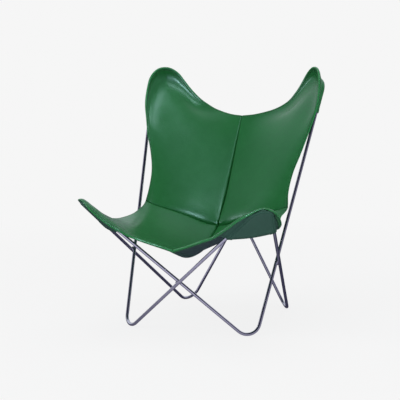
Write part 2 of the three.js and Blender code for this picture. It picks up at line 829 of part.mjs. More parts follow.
const frame = frameCorners();
const place = (name, index) => frame[name][index].place;
const clearRods = [rodSolid(frame.left, CLEAR_RADIUS), rodSolid(frame.right, CLEAR_RADIUS)];

const frameGroup = new THREE.Group();
frameGroup.name = "frame";
for (const name of ["left", "right"]) {
  const solid = rodSolid(frame[name], ROD_RADIUS).trimByPlane([0, 0, 1], 0);
  frameGroup.add(meshFrom(solid, "loop_" + name + "_ear", rodSteel));
}
const runs = (name) => {
  const ends = frame[name].map((corner) => corner.place);
  return ends.map((end, i) => [end, ends[(i + 1) % ends.length]]);
};
const [leftRuns, rightRuns] = [runs("left"), runs("right")];
[
  ["weld_left", leftRuns[0], rightRuns[2]],
  ["weld_front", leftRuns[1], rightRuns[1]],
  ["weld_right", leftRuns[2], rightRuns[0]],
  ["weld_back", leftRuns[3], rightRuns[3]],
].forEach(([name, one, other]) => {
  frameGroup.add(meshFrom(weldSolid(one, other, clearRods), name, weldSteel));
});

const slingGroup = new THREE.Group();
slingGroup.name = "sling";
for (const name of ["left", "right"]) {
  const side = name === "left" ? -1 : 1;
  const far = name === "left" ? "right" : "left";
  const ear = bendFrame(place(name, 0), place(name, 1), place(name, 3), EAR_BEND_RADIUS, EAR_POCKET_DEPTH);
  const wing = bendFrame(place(far, 2), place(far, 3), place(far, 1), WING_BEND_RADIUS, WING_POCKET_DEPTH);
  const outline = halfOutline(side, ear, wing);
  const gap = TOUCH_GAP / 2;
  const seamLine = outline.back.seam;
  const panels = {};
  for (const part of ["back", "seat"]) {
    const bend = part === "back" ? ear : wing;
    const load = part === "back" ? BACK_SAG : SEAT_SAG;
    panels[part] = { bend, load, rough: panelSurface(outline[part], bend, load) };
  }
  // At a seam both panels share one normal, so that their edges meet without crossing.
  const seamNormals = seamLine.map((p, j) => {
    const ahead = seamLine[Math.min(j + 1, RIM_STEPS)];
    const before = seamLine[Math.max(j - 1, 0)];
    const along = runDirection(before, ahead);
    const up = runDirection(panels.seat.rough.grid[SIDE_STEPS][j], panels.back.rough.grid[SIDE_STEPS][j]);
    const normal = along.clone().cross(up).normalize();
    if (normal.y > 0) normal.negate();
    return normal;
  });
  seamNormals[0].setX(0).normalize();
  for (const part of ["back", "seat"]) {
    const { bend, load } = panels[part];
    const sides = outline[part];
    const toPanel = part === "back" ? 1 : -1;
    const seam = seamLine.map((p, j) => {
      const along = runDirection(seamLine[Math.max(j - 1, 0)], seamLine[Math.min(j + 1, RIM_STEPS)]);
      const across = along.cross(seamNormals[j]).normalize();
      if (across.z < 0) across.negate();
      const moved = p.clone().addScaledVector(across, toPanel * gap);
      if (j === 0) moved.x = p.x;
      return moved;
    });
    const middle = sides.middle.map((p) => p.clone());
    middle[SIDE_STEPS].copy(seam[0]);
    middle.forEach((p) => {
      p.x = side * gap;
    });
    seam[0].copy(middle[SIDE_STEPS]);
    const rim = sides.rim.map((p) => p.clone());
    rim[0].copy(middle[0]);
    const edgeSide = sides.side.map((p) => p.clone());
    edgeSide[SIDE_STEPS].copy(seam[RIM_STEPS]);
    const surface = panelSurface({ rim, side: edgeSide, seam, middle }, bend, load);
    const borderNormals = surface.cells.map(([i, j]) => {
      if (i === SIDE_STEPS) return seamNormals[j];
      if (j > 0) return null;
      const along = runDirection(middle[Math.max(i - 1, 0)], middle[Math.min(i + 1, SIDE_STEPS)]);
      const normal = vec(0, -along.z, along.y);
      if (normal.dot(bend.face) < 0) normal.negate();
      return normal;
    });
    const solid = panelSolid(surface, borderNormals, clearRods, 0);
    slingGroup.add(meshFrom(solid, part + "_panel_" + name, leather));
    const clearPanel = panelSolid(surface, borderNormals, [], TOUCH_GAP);
    const pocket = pocketSolid(surface, [...clearRods, clearPanel, solid]);
    slingGroup.add(meshFrom(pocket, (part === "back" ? "ear_pocket_" : "wing_pocket_") + name, leather));
  }
}

const group = new THREE.Group();
group.name = "butterfly_sling_chair";
group.add(frameGroup, slingGroup);
const box = new THREE.Box3().setFromObject(group);
group.position.y = -(box.min.y + box.max.y) / 2;
group.position.x = -(box.min.x + box.max.x) / 2;

export default group;
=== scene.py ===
import math

import bpy
import numpy as np
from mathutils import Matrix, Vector


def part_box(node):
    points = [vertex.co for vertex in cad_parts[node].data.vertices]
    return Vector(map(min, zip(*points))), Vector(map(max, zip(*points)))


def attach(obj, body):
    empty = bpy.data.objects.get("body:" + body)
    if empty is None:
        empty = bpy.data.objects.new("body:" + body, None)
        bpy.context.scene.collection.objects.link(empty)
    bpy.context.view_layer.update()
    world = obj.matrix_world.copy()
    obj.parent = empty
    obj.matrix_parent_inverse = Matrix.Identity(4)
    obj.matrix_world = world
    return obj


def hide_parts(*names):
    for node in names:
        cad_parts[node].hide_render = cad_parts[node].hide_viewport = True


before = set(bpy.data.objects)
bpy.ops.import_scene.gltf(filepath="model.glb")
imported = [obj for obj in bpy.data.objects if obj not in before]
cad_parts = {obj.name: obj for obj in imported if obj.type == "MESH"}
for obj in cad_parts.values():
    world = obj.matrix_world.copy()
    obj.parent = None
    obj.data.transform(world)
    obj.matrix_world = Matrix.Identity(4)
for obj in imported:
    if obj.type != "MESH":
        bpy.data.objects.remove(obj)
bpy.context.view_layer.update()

# Sizes of the chair in millimetres, as in the part: it faces -Y and +Z is up.
MM = 0.001
HALF_WIDTH = 344
EAR_SETBACK, EAR_Z = 161.7, 957.5
WING_INSET, WING_REACH, WING_Z = 2.7, 564.1, 478
FRONT_FOOT_REACH = 368.9
BACK_FOOT_HALF_WIDTH, BACK_FOOT_SETBACK = 198.7, 118.3
ROD = 11
EAR_RADIUS, WING_RADIUS, FOOT_RADIUS = 58, 42, 46
FOOT_FLAT = 0.4
GAP = 0.3
LEATHER, POCKET = 4, 3
HEM = 12
RIM_BAND = 34
NARROW, WIDE = 16, 30
EAR_DEPTH, WING_DEPTH = 120, 125
STITCH_OFFSET = 10
FLANGE = 8
POCKET_LIP = 16
SEAT_SAG, BACK_SAG = 0.3, 0

# From the rod's centre to the middle of the leather, from there to the pocket's, and the wrap's radius.
POCKET_SHEET, POCKET_SLACK = 1.8, 0.2
REST = ROD / 2 + GAP + LEATHER / 2
LIFT = LEATHER / 2 + POCKET / 2 + GAP
WRAP_RADIUS = ROD / 2 + GAP + POCKET_SHEET / 2 + POCKET_SLACK

# The outline of the right half of the sling in shares, as in the part. Middle places: shares of the
# half-width, of the way from wing to ear, and of the height (1 is the wing corner, 2 the ear corner). Edge
# places: shares of the pocket depth, down the middle of the rod bend, outwards, and square to the two rods.
TOP_MIDDLE_SHARES = [
    (0, 0.986, 1.459), (0.131, 0.998, 1.468), (0.27, 1.017, 1.493),
]
EAR_EDGE_SHARES = [
    (1.117, -1.367, 0.4), (0.933, -1.242, 0.275), (0.758, -1.09, 0.21), (0.558, -0.9, 0.21),
    (0.35, -0.745, 0.215), (0.142, -0.59, 0.245), (-0.075, -0.43, 0.285), (-0.205, -0.25, 0.32),
    (-0.262, -0.07, 0.345), (-0.268, 0.11, 0.345), (-0.22, 0.285, 0.35), (-0.105, 0.45, 0.35),
    (0.01, 0.555, 0.335), (0.125, 0.625, 0.31), (0.305, 0.69, 0.26), (0.675, 0.81, 0.19),
    (0.967, 0.865, 0.14), (1.358, 0.905, 0.11), (1.825, 0.95, 0.108),
]
EAR_TIP = 8
SIDE_MIDDLE_SHARES = [
    (0.822, 0.711, 1.191), (0.774, 0.676, 1.063), (0.76, 0.629, 0.932), (0.775, 0.6, 0.834),
    (0.767, 0.564, 0.804), (0.767, 0.508, 0.781), (0.789, 0.466, 0.756),
]
ARMPIT = 3
WING_EDGE_SHARES = [
    (1.608, 1.192, 0.448), (1.408, 1.024, 0.296), (1.136, 0.92, 0.168), (0.936, 0.88, 0.136),
    (0.712, 0.784, 0.108), (0.512, 0.68, 0.068), (0.288, 0.528, 0.016), (0.136, 0.424, -0.028),
    (-0.004, 0.28, -0.044), (-0.084, 0.152, -0.036), (-0.108, 0.04, -0.02), (-0.096, -0.072, -0.004),
    (-0.04, -0.24, -0.024), (0.008, -0.424, -0.056), (0.088, -0.576, -0.08), (0.2, -0.704, -0.088),
    (0.368, -0.816, -0.096), (0.552, -0.92, -0.08), (0.752, -1.016, -0.048), (0.952, -1.12, 0),
]
WING_TIP = 10
FRONT_MIDDLE_SHARES = [
    (0.377, 0.01, 0.71), (0.299, 0.021, 0.689), (0.211, 0.043, 0.664), (0.124, 0.064, 0.64),
    (0.042, 0.077, 0.62), (0, 0.081, 0.61),
]
CENTRE_SHARES = [
    (0, 0.986, 1.459), (0, 0.929, 1.31), (0, 0.842, 1.089), (0, 0.756, 0.873), (0, 0.701, 0.754),
    (0, 0.647, 0.658), (0, 0.605, 0.624), (0, 0.562, 0.595), (0, 0.481, 0.554), (0, 0.391, 0.527),
    (0, 0.309, 0.522), (0, 0.226, 0.537), (0, 0.15, 0.57), (0, 0.081, 0.61),
]
JUNCTION = 5
SEAM_SHARES = [
    (0, 0.647, 0.658), (0.131, 0.635, 0.678), (0.262, 0.615, 0.718), (0.392, 0.595, 0.754),
    (0.523, 0.582, 0.783), (0.654, 0.58, 0.809), (0.775, 0.6, 0.834),
]

SIDES = {-1: "left", 1: "right"}
TINY, LEAST_STEP = 1e-12, 1e-6


def unit(v):
    v = np.asarray(v, float)
    return v / np.maximum(np.linalg.norm(v, axis=-1, keepdims=True), TINY)


def dot(a, b):
    return (a * b).sum(-1)


def smooth(low, high, x):
    t = np.clip((np.asarray(x, float) - low) / (high - low), 0, 1)
    return t * t * (3 - 2 * t)


def lerp(a, b, t):
    return a + (b - a) * t


def bell(x, width):
    """1 at zero, falling off smoothly over the width."""
    return np.exp(-((x / width) ** 2))


def mound(height, x, width):
    """0 at zero, the height at the width, and falling off slowly beyond it."""
    return height * (x / width) * np.exp(1 - x / width)


def quarter_round(x, radius):
    """The height share of a quarter circle, from 0 at its foot to 1 at the radius and beyond."""
    return np.sqrt(np.maximum(0, 1 - (1 - np.minimum(x, radius) / radius) ** 2))


def between(p0, p1, p2, p3, w):
    """The point at share w of the way from p1 to p2, on a smooth curve through four points in a row."""
    bend = p0 - 2.5 * p1 + 2 * p2 - p3 / 2
    return p1 + w * (p2 - p0) / 2 + w**2 * bend + w**3 * (1.5 * (p1 - p2) + (p3 - p0) / 2)


def lengths(line):
    """Distances along a line of points, from its start."""
    return np.concatenate([[0], np.cumsum(np.linalg.norm(np.diff(line, axis=0), axis=1))])


def along_line(line, length, wanted):
    return np.column_stack([np.interp(wanted, length, line[:, k]) for k in range(3)])


# Frame of two bent rod loops
SETTLE_ROUNDS, SOLVE_ROUNDS = 9, 10
FOOT_STEPS = 12
BOX_STEPS, BOX_RUNS = 24, 2


def bend_rings(corners, i, steps):
    """Places and directions along the rod bend at one corner of a loop."""
    corner, radius = corners[i % 4]
    back, on = unit(corners[i - 1][0] - corner), unit(corners[(i + 1) % 4][0] - corner)
    half = math.acos(float(np.clip(dot(back, on), -1, 1))) / 2
    start = corner + back * radius / math.tan(half)
    hub = corner + unit(back + on) * radius / math.sin(half)
    spoke, ahead = unit(start - hub), -back
    rings = []
    for k in range(steps + 1):
        turn = (math.pi - 2 * half) * k / steps
        c, s = math.cos(turn), math.sin(turn)
        rings.append((hub + radius * (spoke * c + ahead * s), unit(ahead * c - spoke * s)))
    return rings


def loop_rings(corners, steps, runs):
    """Places and directions all round a loop, with each straight rod cut into a few runs."""
    rings = []
    for i in range(4):
        rings += bend_rings(corners, i, steps)
        start, along = rings[-1]
        end = bend_rings(corners, i + 1, 1)[0][0]
        rings += [(lerp(start, end, k / runs), along) for k in range(1, runs)]
    return rings


def pass_shift(a, b):
    """How far a rod from a to b steps aside in Y, so that it just passes the other loop's rod."""
    run = b - a
    return (ROD + GAP) / 2 * math.hypot(run[1], run[2]) / abs(run[2])


def loop_corners(side, foot, front_z, back_z):
    """One loop's corners: ear, own front foot, far wing, far back foot, each with its bend radius."""
    ear = np.array([side * HALF_WIDTH, EAR_SETBACK, EAR_Z])
    front = np.array([side * foot, -FRONT_FOOT_REACH, front_z])
    wing = np.array([-side * (HALF_WIDTH - WING_INSET), -WING_REACH, WING_Z])
    back = np.array([-side * BACK_FOOT_HALF_WIDTH, BACK_FOOT_SETBACK, back_z])
    at_front, at_back = side * pass_shift(front, wing), side * pass_shift(back, ear)
    front[1] += at_front
    wing[1] += at_front
    back[1] += at_back
    ear[1] += at_back
    return [(ear, EAR_RADIUS), (front, FOOT_RADIUS), (wing, WING_RADIUS), (back, FOOT_RADIUS)]


def settled(side, foot):
    """The loop's corners with both feet down on the floor."""
    front_z = back_z = 0.0
    for _ in range(SETTLE_ROUNDS):
        corners = loop_corners(side, foot, front_z, back_z)
        front, back = (min(place[2] for place, _ in bend_rings(corners, i, FOOT_STEPS)) for i in (1, 3))
        front_z -= front - ROD / 2 + FOOT_FLAT
        back_z -= back - ROD / 2 + FOOT_FLAT
    return corners


def side_clearance(side, inner, outer):
    """Distance between the centrelines of the two rods that cross at one side of the chair."""
    along = unit(inner[1][0] - inner[0][0])
    other = unit(outer[3][0] - outer[2][0])
    square = unit(np.cross(along, other))
    if square[0] * side < 0:
        square = -square
    return float(dot(outer[2][0] - inner[0][0], square))


def frame_corners():
    """Both loops, with the front feet set so that the rods just touch where they cross at the sides."""
    width = {-1: BACK_FOOT_HALF_WIDTH, 1: BACK_FOOT_HALF_WIDTH}
    step = ROD / 2

    def excess(side):
        return side_clearance(side, settled(side, width[side]), settled(-side, width[-side])) - ROD - GAP

    for _ in range(SOLVE_ROUNDS):
        for side in SIDES:
            here = excess(side)
            width[side] += step
            slope = (excess(side) - here) / step
            width[side] += -step - here / slope
    return {side: settled(side, width[side]) for side in SIDES}


def frame_offset():
    """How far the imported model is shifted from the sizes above, in mm, found from its two loops."""
    paths = np.array([[place for place, _ in loop_rings(LOOPS[side], BOX_STEPS, BOX_RUNS)] for side in SIDES])
    boxes = np.array([[list(v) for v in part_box("loop_" + name + "_ear")] for name in SIDES.values()]) / MM
    low, high = paths.min((0, 1)) - ROD / 2, paths.max((0, 1)) + ROD / 2
    shift = (boxes[:, 0].min(0) + boxes[:, 1].max(0) - low - high) / 2
    return np.array([shift[0], shift[1], 0])


LOOPS = frame_corners()
OFFSET = frame_offset()

# Sling surface: how finely it is drawn, and how it settles between its sides and over the rods
ROWS, COLS = 14, 11
FINER = 4
CURVE_SAMPLES, BAND_SAMPLES = 3200, 120
END_CROWDING, START_CROWDING = 1.3, 1.45
FIRST_ROUNDS, FIRST_PULL = 60, 1.7
FITS, FIT_ROUNDS, FIT_PULL = 4, 130, 1.85
BAND_STEPS = 5
POCKET_FADE = 60
RELAXING, FREEDOM_SHARE = 800, 0.995
FAIRING, FAIRING_SHARE = 14, 0.7
SCOOP_SHARE, SCOOP_WIDTH, SCOOP_BLEND = 0.2, 42, 12
LEAST_GAP = 1e-4


class Bend:
    """A rod bend that holds the sling. Its axes run down its middle, out to the outer rod, and up."""

    def __init__(self, corner, outer_end, inner_end, radius, depth):
        self.corner, self.radius, self.depth = corner, radius, depth
        outer, inner = unit(outer_end - corner), unit(inner_end - corner)
        self.down = unit(outer + inner)
        self.out = unit(outer - self.down * dot(outer, self.down))
        self.up = unit(np.cross(self.out, self.down))
        if self.up[2] < 0:
            self.up = -self.up
        self.half = math.acos(float(dot(outer, self.down)))
        self.hub = radius / math.sin(self.half)
        self.apex = self.hub - radius

    def to_world(self, down, out, up):
        down, out, up = (np.asarray(x, float)[..., None] for x in (down, out, up))
        return self.corner + down * self.down + out * self.out + up * self.up

    def to_local(self, points):
        v = points - self.corner
        return dot(v, self.down), dot(v, self.out), dot(v, self.up)

    def nearest(self, down, out):
        """The nearest place on the rod's centreline, the way out from it, and the distance outwards."""
        down, out = np.asarray(down, float), np.asarray(out, float)
        arc = np.arctan2(np.abs(out), self.hub - down) <= math.pi / 2 - self.half
        reach = np.maximum(np.hypot(down - self.hub, out), TINY)
        away_down, away_out = (down - self.hub) / reach, out / reach
        hand = np.where(out < 0, -1.0, 1.0)
        c, s = math.cos(self.half), math.sin(self.half)
        along = down * c + np.abs(out) * s
        return (
            np.where(arc, self.hub + away_down * self.radius, along * c),
            np.where(arc, away_out * self.radius, hand * along * s),
            np.where(arc, away_down, -s),
            np.where(arc, away_out, hand * c),
            np.where(arc, reach - self.radius, np.abs(out) * c - down * s),
        )

    def keep_off(self, points):
        """Lifts points of the leather's middle surface that would sink into the rod."""
        down, out, up = self.to_local(points)
        off = self.nearest(down, out)[4]
        least = np.sqrt(np.maximum(REST * REST - off * off, 0))
        push = np.where((np.abs(off) < REST) & (up < least) & (up > -WIDE), least - up, 0)
        return points + push[..., None] * self.up

    def place(self, shares):
        """A place of the sling's edge, kept far enough out for its hem to pass the rod."""
        down, out, up = (share * self.depth for share in shares)
        down += self.apex
        _, _, away_down, away_out, off = self.nearest(down, out)
        least = max(STITCH_OFFSET - max(0, up - REST), REST)
        push = max(0.0, least - float(off)) if shares[0] < 1 else 0.0
        return self.to_world(down + away_down * push, out + away_out * push, up)


def middle_place(side, shares):
    x, y, z = shares
    height = z * WING_Z if z < 1 else lerp(WING_Z, EAR_Z, z - 1)
    return np.array([side * x * HALF_WIDTH, lerp(-WING_REACH, EAR_SETBACK, y), height])


def curve_points(points, ts):
    """A smooth curve through the points, at parameters from 0 to 1."""
    p = np.asarray(points, float)
    last = len(p) - 1
    full = np.vstack([2 * p[0] - p[1], p, 2 * p[-1] - p[-2]])
    x = np.asarray(ts, float) * last
    i = np.clip(np.floor(x).astype(int), 0, last - 1)
    w = (x - i)[:, None]
    p0, p1, p2, p3 = (full[i + k] for k in range(4))

    def gap(a, b):
        return np.maximum(((b - a) ** 2).sum(1) ** 0.25, LEAST_GAP)[:, None]

    d0, d1, d2 = gap(p0, p1), gap(p1, p2), gap(p2, p3)
    leave = ((p1 - p0) / d0 - (p2 - p0) / (d0 + d1) + (p2 - p1) / d1) * d1
    arrive = ((p2 - p1) / d1 - (p3 - p1) / (d1 + d2) + (p3 - p2) / d2) * d1
    square, cube = -3 * p1 + 3 * p2 - 2 * leave - arrive, 2 * p1 - 2 * p2 + leave + arrive
    return p1 + leave * w + square * w * w + cube * w * w * w


def cubic(line, where):
    """Points on the smooth curve through a line's points, at fractional places along its first axis."""
    last = len(line) - 1
    i = np.clip(np.floor(where).astype(int), 0, last - 1)
    w = (where - i).reshape((-1,) + (1,) * (line.ndim - 1))
    p1, p2 = line[i], line[i + 1]
    p0 = np.where((i > 0).reshape(w.shape), line[np.maximum(i - 1, 0)], 2 * p1 - p2)
    p3 = np.where((i < last - 1).reshape(w.shape), line[np.minimum(i + 2, last)], 2 * p2 - p1)
    return between(p0, p1, p2, p3, w)


def stations(points, start, end, count, ease, skip_start=0.0, skip_end=0.0):
    """Points along a part of a curve, less a stretch in mm at either end."""
    fine = curve_points(points, np.linspace(start, end, CURVE_SAMPLES + 1))
    length = lengths(fine)
    share = ease(np.arange(count + 1) / count)
    return along_line(fine, length, skip_start + (length[-1] - skip_start - skip_end) * share)


def crowd_end(x):
    return 1 - (1 - x) ** END_CROWDING


def crowd_start(x):
    return x**START_CROWDING


def half_outline(side, ear, wing):
    """The four sides of the back and seat panels; the inner sides leave room for the rim band."""
    rows, cols = ROWS * FINER, COLS * FINER
    outline = [middle_place(side, s) for s in TOP_MIDDLE_SHARES] + [ear.place(s) for s in EAR_EDGE_SHARES]
    outline += [middle_place(side, s) for s in SIDE_MIDDLE_SHARES] + [wing.place(s) for s in WING_EDGE_SHARES]
    outline += [middle_place(side, s) for s in FRONT_MIDDLE_SHARES]
    last = len(outline) - 1
    side_start = len(TOP_MIDDLE_SHARES) + len(EAR_EDGE_SHARES)
    pit = (side_start + ARMPIT) / last
    ear_tip = (len(TOP_MIDDLE_SHARES) + EAR_TIP) / last
    wing_tip = (side_start + len(SIDE_MIDDLE_SHARES) + WING_TIP) / last
    centre = [middle_place(side, s) for s in CENTRE_SHARES]
    junction = JUNCTION / (len(CENTRE_SHARES) - 1)
    seam = stations([middle_place(side, s) for s in SEAM_SHARES], 0, 1, cols, crowd_end, 0, RIM_BAND)

    def panel_sides(start, tip):
        return dict(rim=stations(outline, start, tip, cols, crowd_end),
                    side=stations(outline, tip, pit, rows, crowd_start),
                    middle=stations(centre, start, junction, rows, crowd_start, RIM_BAND), seam=seam)

    return {"back": panel_sides(0, ear_tip), "seat": panel_sides(1, wing_tip)}


def blended(rim, side, seam, middle):
    """A grid between four sides."""
    rows, cols = len(middle) - 1, len(rim) - 1
    s = (np.arange(rows + 1) / rows)[:, None, None]
    t = (np.arange(cols + 1) / cols)[None, :, None]
    grid = rim[None] * (1 - s) + seam[None] * s + middle[:, None] * (1 - t) + side[:, None] * t
    return grid - (rim[0] * (1 - t) + rim[-1] * t) * (1 - s) - (seam[0] * (1 - t) + seam[-1] * t) * s


class Sheet:
    """A panel's middle surface: a taut grid, and along its outer side a band that turns round the rod."""

    def __init__(self, sides, bend, load):
        self.bend, self.load = bend, load
        self.rows, self.cols = len(sides["middle"]) - 1, len(sides["rim"]) - 1
        self.count = self.rows + self.cols
        self.edge = np.vstack([sides["rim"], sides["side"][1:]])
        down, out, up = bend.to_local(self.edge)
        near_down, near_out, away_down, away_out, off = bend.nearest(down, out)
        self.fall = near_down - bend.apex
        self.axis = bend.to_world(near_down, near_out, np.zeros(self.count + 1))
        self.outward = away_down[:, None] * bend.down + away_out[:, None] * bend.out
        self.held = 1 - smooth(bend.depth, bend.depth + POCKET_FADE, self.fall)
        reach = off * smooth(0, NARROW, np.abs(up) + off)
        self.rest_turn = bend.to_world(near_down + away_down * reach, near_out + away_out * reach,
                                       REST + SCOOP_SHARE * reach)
        self.shift = np.zeros((BAND_STEPS + 1, self.count + 1, 3))
        self.fit_band(sides)
        self.relax_whole()
        self.measure_band()

    def fit_band(self, sides):
        """Lays the band from the edge towards the grid, and over the rod where the pocket holds it."""
        edge, cols, k = self.edge, self.cols, np.arange(self.count + 1)
        tangent = unit(edge[np.minimum(k + 1, self.count)] - edge[np.maximum(k - 1, 0)])
        length = lengths(edge)
        near_start = (1 - smooth(0, 2 * RIM_BAND, length))[:, None]
        near_end = (1 - smooth(0, 2 * RIM_BAND, length[-1] - length))[:, None]
        first, last = unit(sides["middle"][0] - edge[0]), unit(sides["seam"][-1] - edge[-1])
        held, rest = self.held[:, None], self.axis + self.bend.up * REST
        row, col = np.clip(k - cols, FINER, self.rows - FINER), np.clip(k, FINER, cols - FINER)
        self.grid = blended(sides["rim"], sides["side"], sides["seam"], sides["middle"])
        self.draw_taut(FIRST_ROUNDS, FIRST_PULL)
        for fit in range(FITS):
            target = self.grid[row, col] - edge
            inward = unit(target - tangent * dot(target, tangent)[:, None])
            inward = unit(lerp(lerp(inward, first, near_start), last, near_end))
            free = edge + inward * RIM_BAND
            inner = self.bend.keep_off(lerp(free, rest, held))
            inner[0], inner[-1] = sides["middle"][0], sides["seam"][-1]
            if fit == 0:
                self.grid = blended(inner[: cols + 1], inner[cols:], sides["seam"], sides["middle"])
            self.grid[0] = inner[: cols + 1]
            self.grid[:, cols] = inner[cols:]
            self.draw_taut(FIT_ROUNDS, FIT_PULL)
        self.turn, self.inner = lerp((edge + free) / 2, self.rest_turn, held), inner

    def draw_taut(self, rounds, pull):
        """Relaxes the grid between its sides under a small load, held off the rod."""
        i, j = np.meshgrid(np.arange(1, self.rows), np.arange(1, self.cols), indexing="ij")
        sets = [(i[(i + j) % 2 == k], j[(i + j) % 2 == k]) for k in (0, 1)]
        grid = self.grid
        for _ in range(rounds):
            for a, c in sets:
                new = (grid[a - 1, c] + grid[a + 1, c] + grid[a, c - 1] + grid[a, c + 1]) / 4
                new[:, 2] -= self.load
                grid[a, c] = self.bend.keep_off(grid[a, c] + (new - grid[a, c]) * pull)

    def relax_whole(self):
        """Relaxes band and grid as one sheet where nothing holds the band, and keeps the band's shift."""
        rows, cols, count, grid = self.rows, self.cols, self.count, self.grid
        laid = np.stack([self.band_place(np.full(count + 1, q / BAND_STEPS)) for q in range(BAND_STEPS + 1)])
        band = laid.copy()
        loose = (1 - self.held) * FREEDOM_SHARE
        loose[[0, -1]] = 0
        k = np.arange(1, count)
        row, col = np.clip(k - cols, 1, rows - 1), np.clip(k, 1, cols - 1)
        for step in range(RELAXING + FAIRING):
            band[BAND_STEPS] = np.vstack([grid[0], grid[1:, cols]])
            pull = (band[1:-1, :-2] + band[1:-1, 2:] + band[:-2, 1:-1] + band[2:, 1:-1]) / 4
            border = (band[-1, :-2] + band[-1, 2:] + band[-2, 1:-1] + grid[row, col]) / 4
            pull = np.concatenate([pull, border[None]])
            pull[..., 2] -= self.load
            # the last rounds also ease the leather that lies on the rod, which is too stiff to crease there
            fixed, free = (laid, loose) if step < RELAXING else (band, np.full(count + 1, FAIRING_SHARE))
            band[1:, 1:-1] = self.bend.keep_off(lerp(fixed[1:, 1:-1], pull, free[None, 1:-1, None]))
            grid[0, 1:], grid[1:-1, cols] = band[-1, 1 : cols + 1], band[-1, cols + 1 : -1]
            self.draw_taut(1, 1.0)
        self.shift = band - laid
        # the stiff leather crosses the rod on a slope and dips a little further before it runs taut
        gap = np.linalg.norm(grid[:, :, None] - band[-1][None, None], axis=3)
        nearest = gap.min(2)
        weight = np.exp(-(gap - nearest[..., None]) / SCOOP_BLEND)
        held = (weight * self.held).sum(2) / weight.sum(2)
        dip = SCOOP_SHARE * held * nearest * np.exp(-nearest / SCOOP_WIDTH)
        self.grid = grid - dip[..., None] * self.bend.up

    def band_place(self, share):
        """Points of the band at one share per station, or at a table of shares."""
        share = np.asarray(share, float)
        at = np.clip(share, 0, 1) * BAND_STEPS
        step = np.clip(np.floor(at).astype(int), 0, BAND_STEPS - 1)
        station = np.arange(len(share)).reshape((-1,) + (1,) * (share.ndim - 1))
        before, a = self.shift[np.maximum(step - 1, 0), station], self.shift[step, station]
        b, after = self.shift[step + 1, station], self.shift[np.minimum(step + 2, BAND_STEPS), station]
        moved = between(before, a, b, after, (at - step)[..., None])
        lines = (self.edge, self.turn, self.inner)
        edge, turn, inner = lines if share.ndim == 1 else (line[:, None] for line in lines)
        share = share[..., None]
        return edge * (1 - share) ** 2 + turn * 2 * (1 - share) * share + inner * share**2 + moved

    def measure_band(self):
        self.shares = np.linspace(0, 1, BAND_SAMPLES + 1)
        places = self.band_place(np.tile(self.shares, (self.count + 1, 1)))
        steps = np.linalg.norm(np.diff(places, axis=1), axis=2)
        self.reaches = np.concatenate([np.zeros((self.count + 1, 1)), np.cumsum(steps, axis=1)], axis=1)
        self.band_length = self.reaches[:, -1]

    def share_at(self, distance):
        """Shares of the band at a distance in mm from its edge, one per station."""
        distance = np.broadcast_to(distance, (self.count + 1,))
        return np.array([np.interp(x, row, self.shares) for x, row in zip(distance, self.reaches)])


def build_half(side):
    """The middle surfaces of one side's back and seat panels."""
    mine, other = LOOPS[side], LOOPS[-side]
    ear = Bend(mine[0][0], mine[1][0], mine[3][0], EAR_RADIUS, EAR_DEPTH)
    wing = Bend(other[2][0], other[3][0], other[1][0], WING_RADIUS, WING_DEPTH)
    sides = half_outline(side, ear, wing)
    return {part: Sheet(sides[part], bend, load / FINER**2)
            for part, bend, load in (("back", ear, BACK_SAG), ("seat", wing, SEAT_SAG))}


# Meshes
FAR = 999.0
FULL_BAND = 32.0


def make_object(name, points, faces, material):
    mesh = bpy.data.meshes.new(name)
    mesh.from_pydata(((np.asarray(points) + OFFSET) * MM).tolist(), [], [list(map(int, f)) for f in faces])
    mesh.update()
    mesh.polygons.foreach_set("use_smooth", [True] * len(mesh.polygons))
    mesh.materials.append(material)
    obj = bpy.data.objects.new(name, mesh)
    bpy.context.scene.collection.objects.link(obj)
    return obj


def add_attribute(obj, name, values):
    attribute = obj.data.attributes.new(name, "FLOAT", "POINT")
    attribute.data.foreach_set("value", np.asarray(values, np.float32))


def grid_faces(index):
    a, b, c, d = index[:-1, :-1], index[1:, :-1], index[1:, 1:], index[:-1, 1:]
    return np.stack([a, b, c, d], -1).reshape(-1, 4)


def quad_areas(points, quads):
    """The area of each quad as a vector square to it."""
    p = points[quads]
    return np.cross(p[:, 2] - p[:, 0], p[:, 3] - p[:, 1]) / 2


def area_of(points, quads):
    """The area of a sheet in square metres."""
    return np.linalg.norm(quad_areas(points, quads), axis=1).sum() * MM**2


def run_length(table, axis):
    """Distances along one axis of a table of points, from its start."""
    step = np.linalg.norm(np.diff(table, axis=axis), axis=-1)
    first = np.zeros_like(step[:1] if axis == 0 else step[:, :1])
    return np.concatenate([first, np.cumsum(step, axis)], axis)


# distances in mm from a seam, and from the outer edge, at which a panel has lines of points
SEAM_LINES = [0, 0.3, 0.8, 1.5, 2.4, 3.5, 5, 7, 9.5, 12.5, 16]
HEM_LINES = [0, 0.25, 0.9, 1.9, 3.1, 4.5, 6.2, 7.8, 8.9, 9.5, STITCH_OFFSET, 10.5, 11.1, HEM,
             12.6, 13.6, 15.5, 18.5, 22.5, 28]


def crowded(line, count):
    """Fractional places along a line: close together near its start, then even."""
    near = np.interp(SEAM_LINES, lengths(line), np.arange(len(line)))
    return np.concatenate([near, np.linspace(near[-1], len(line) - 1, count + 1)[1:]])


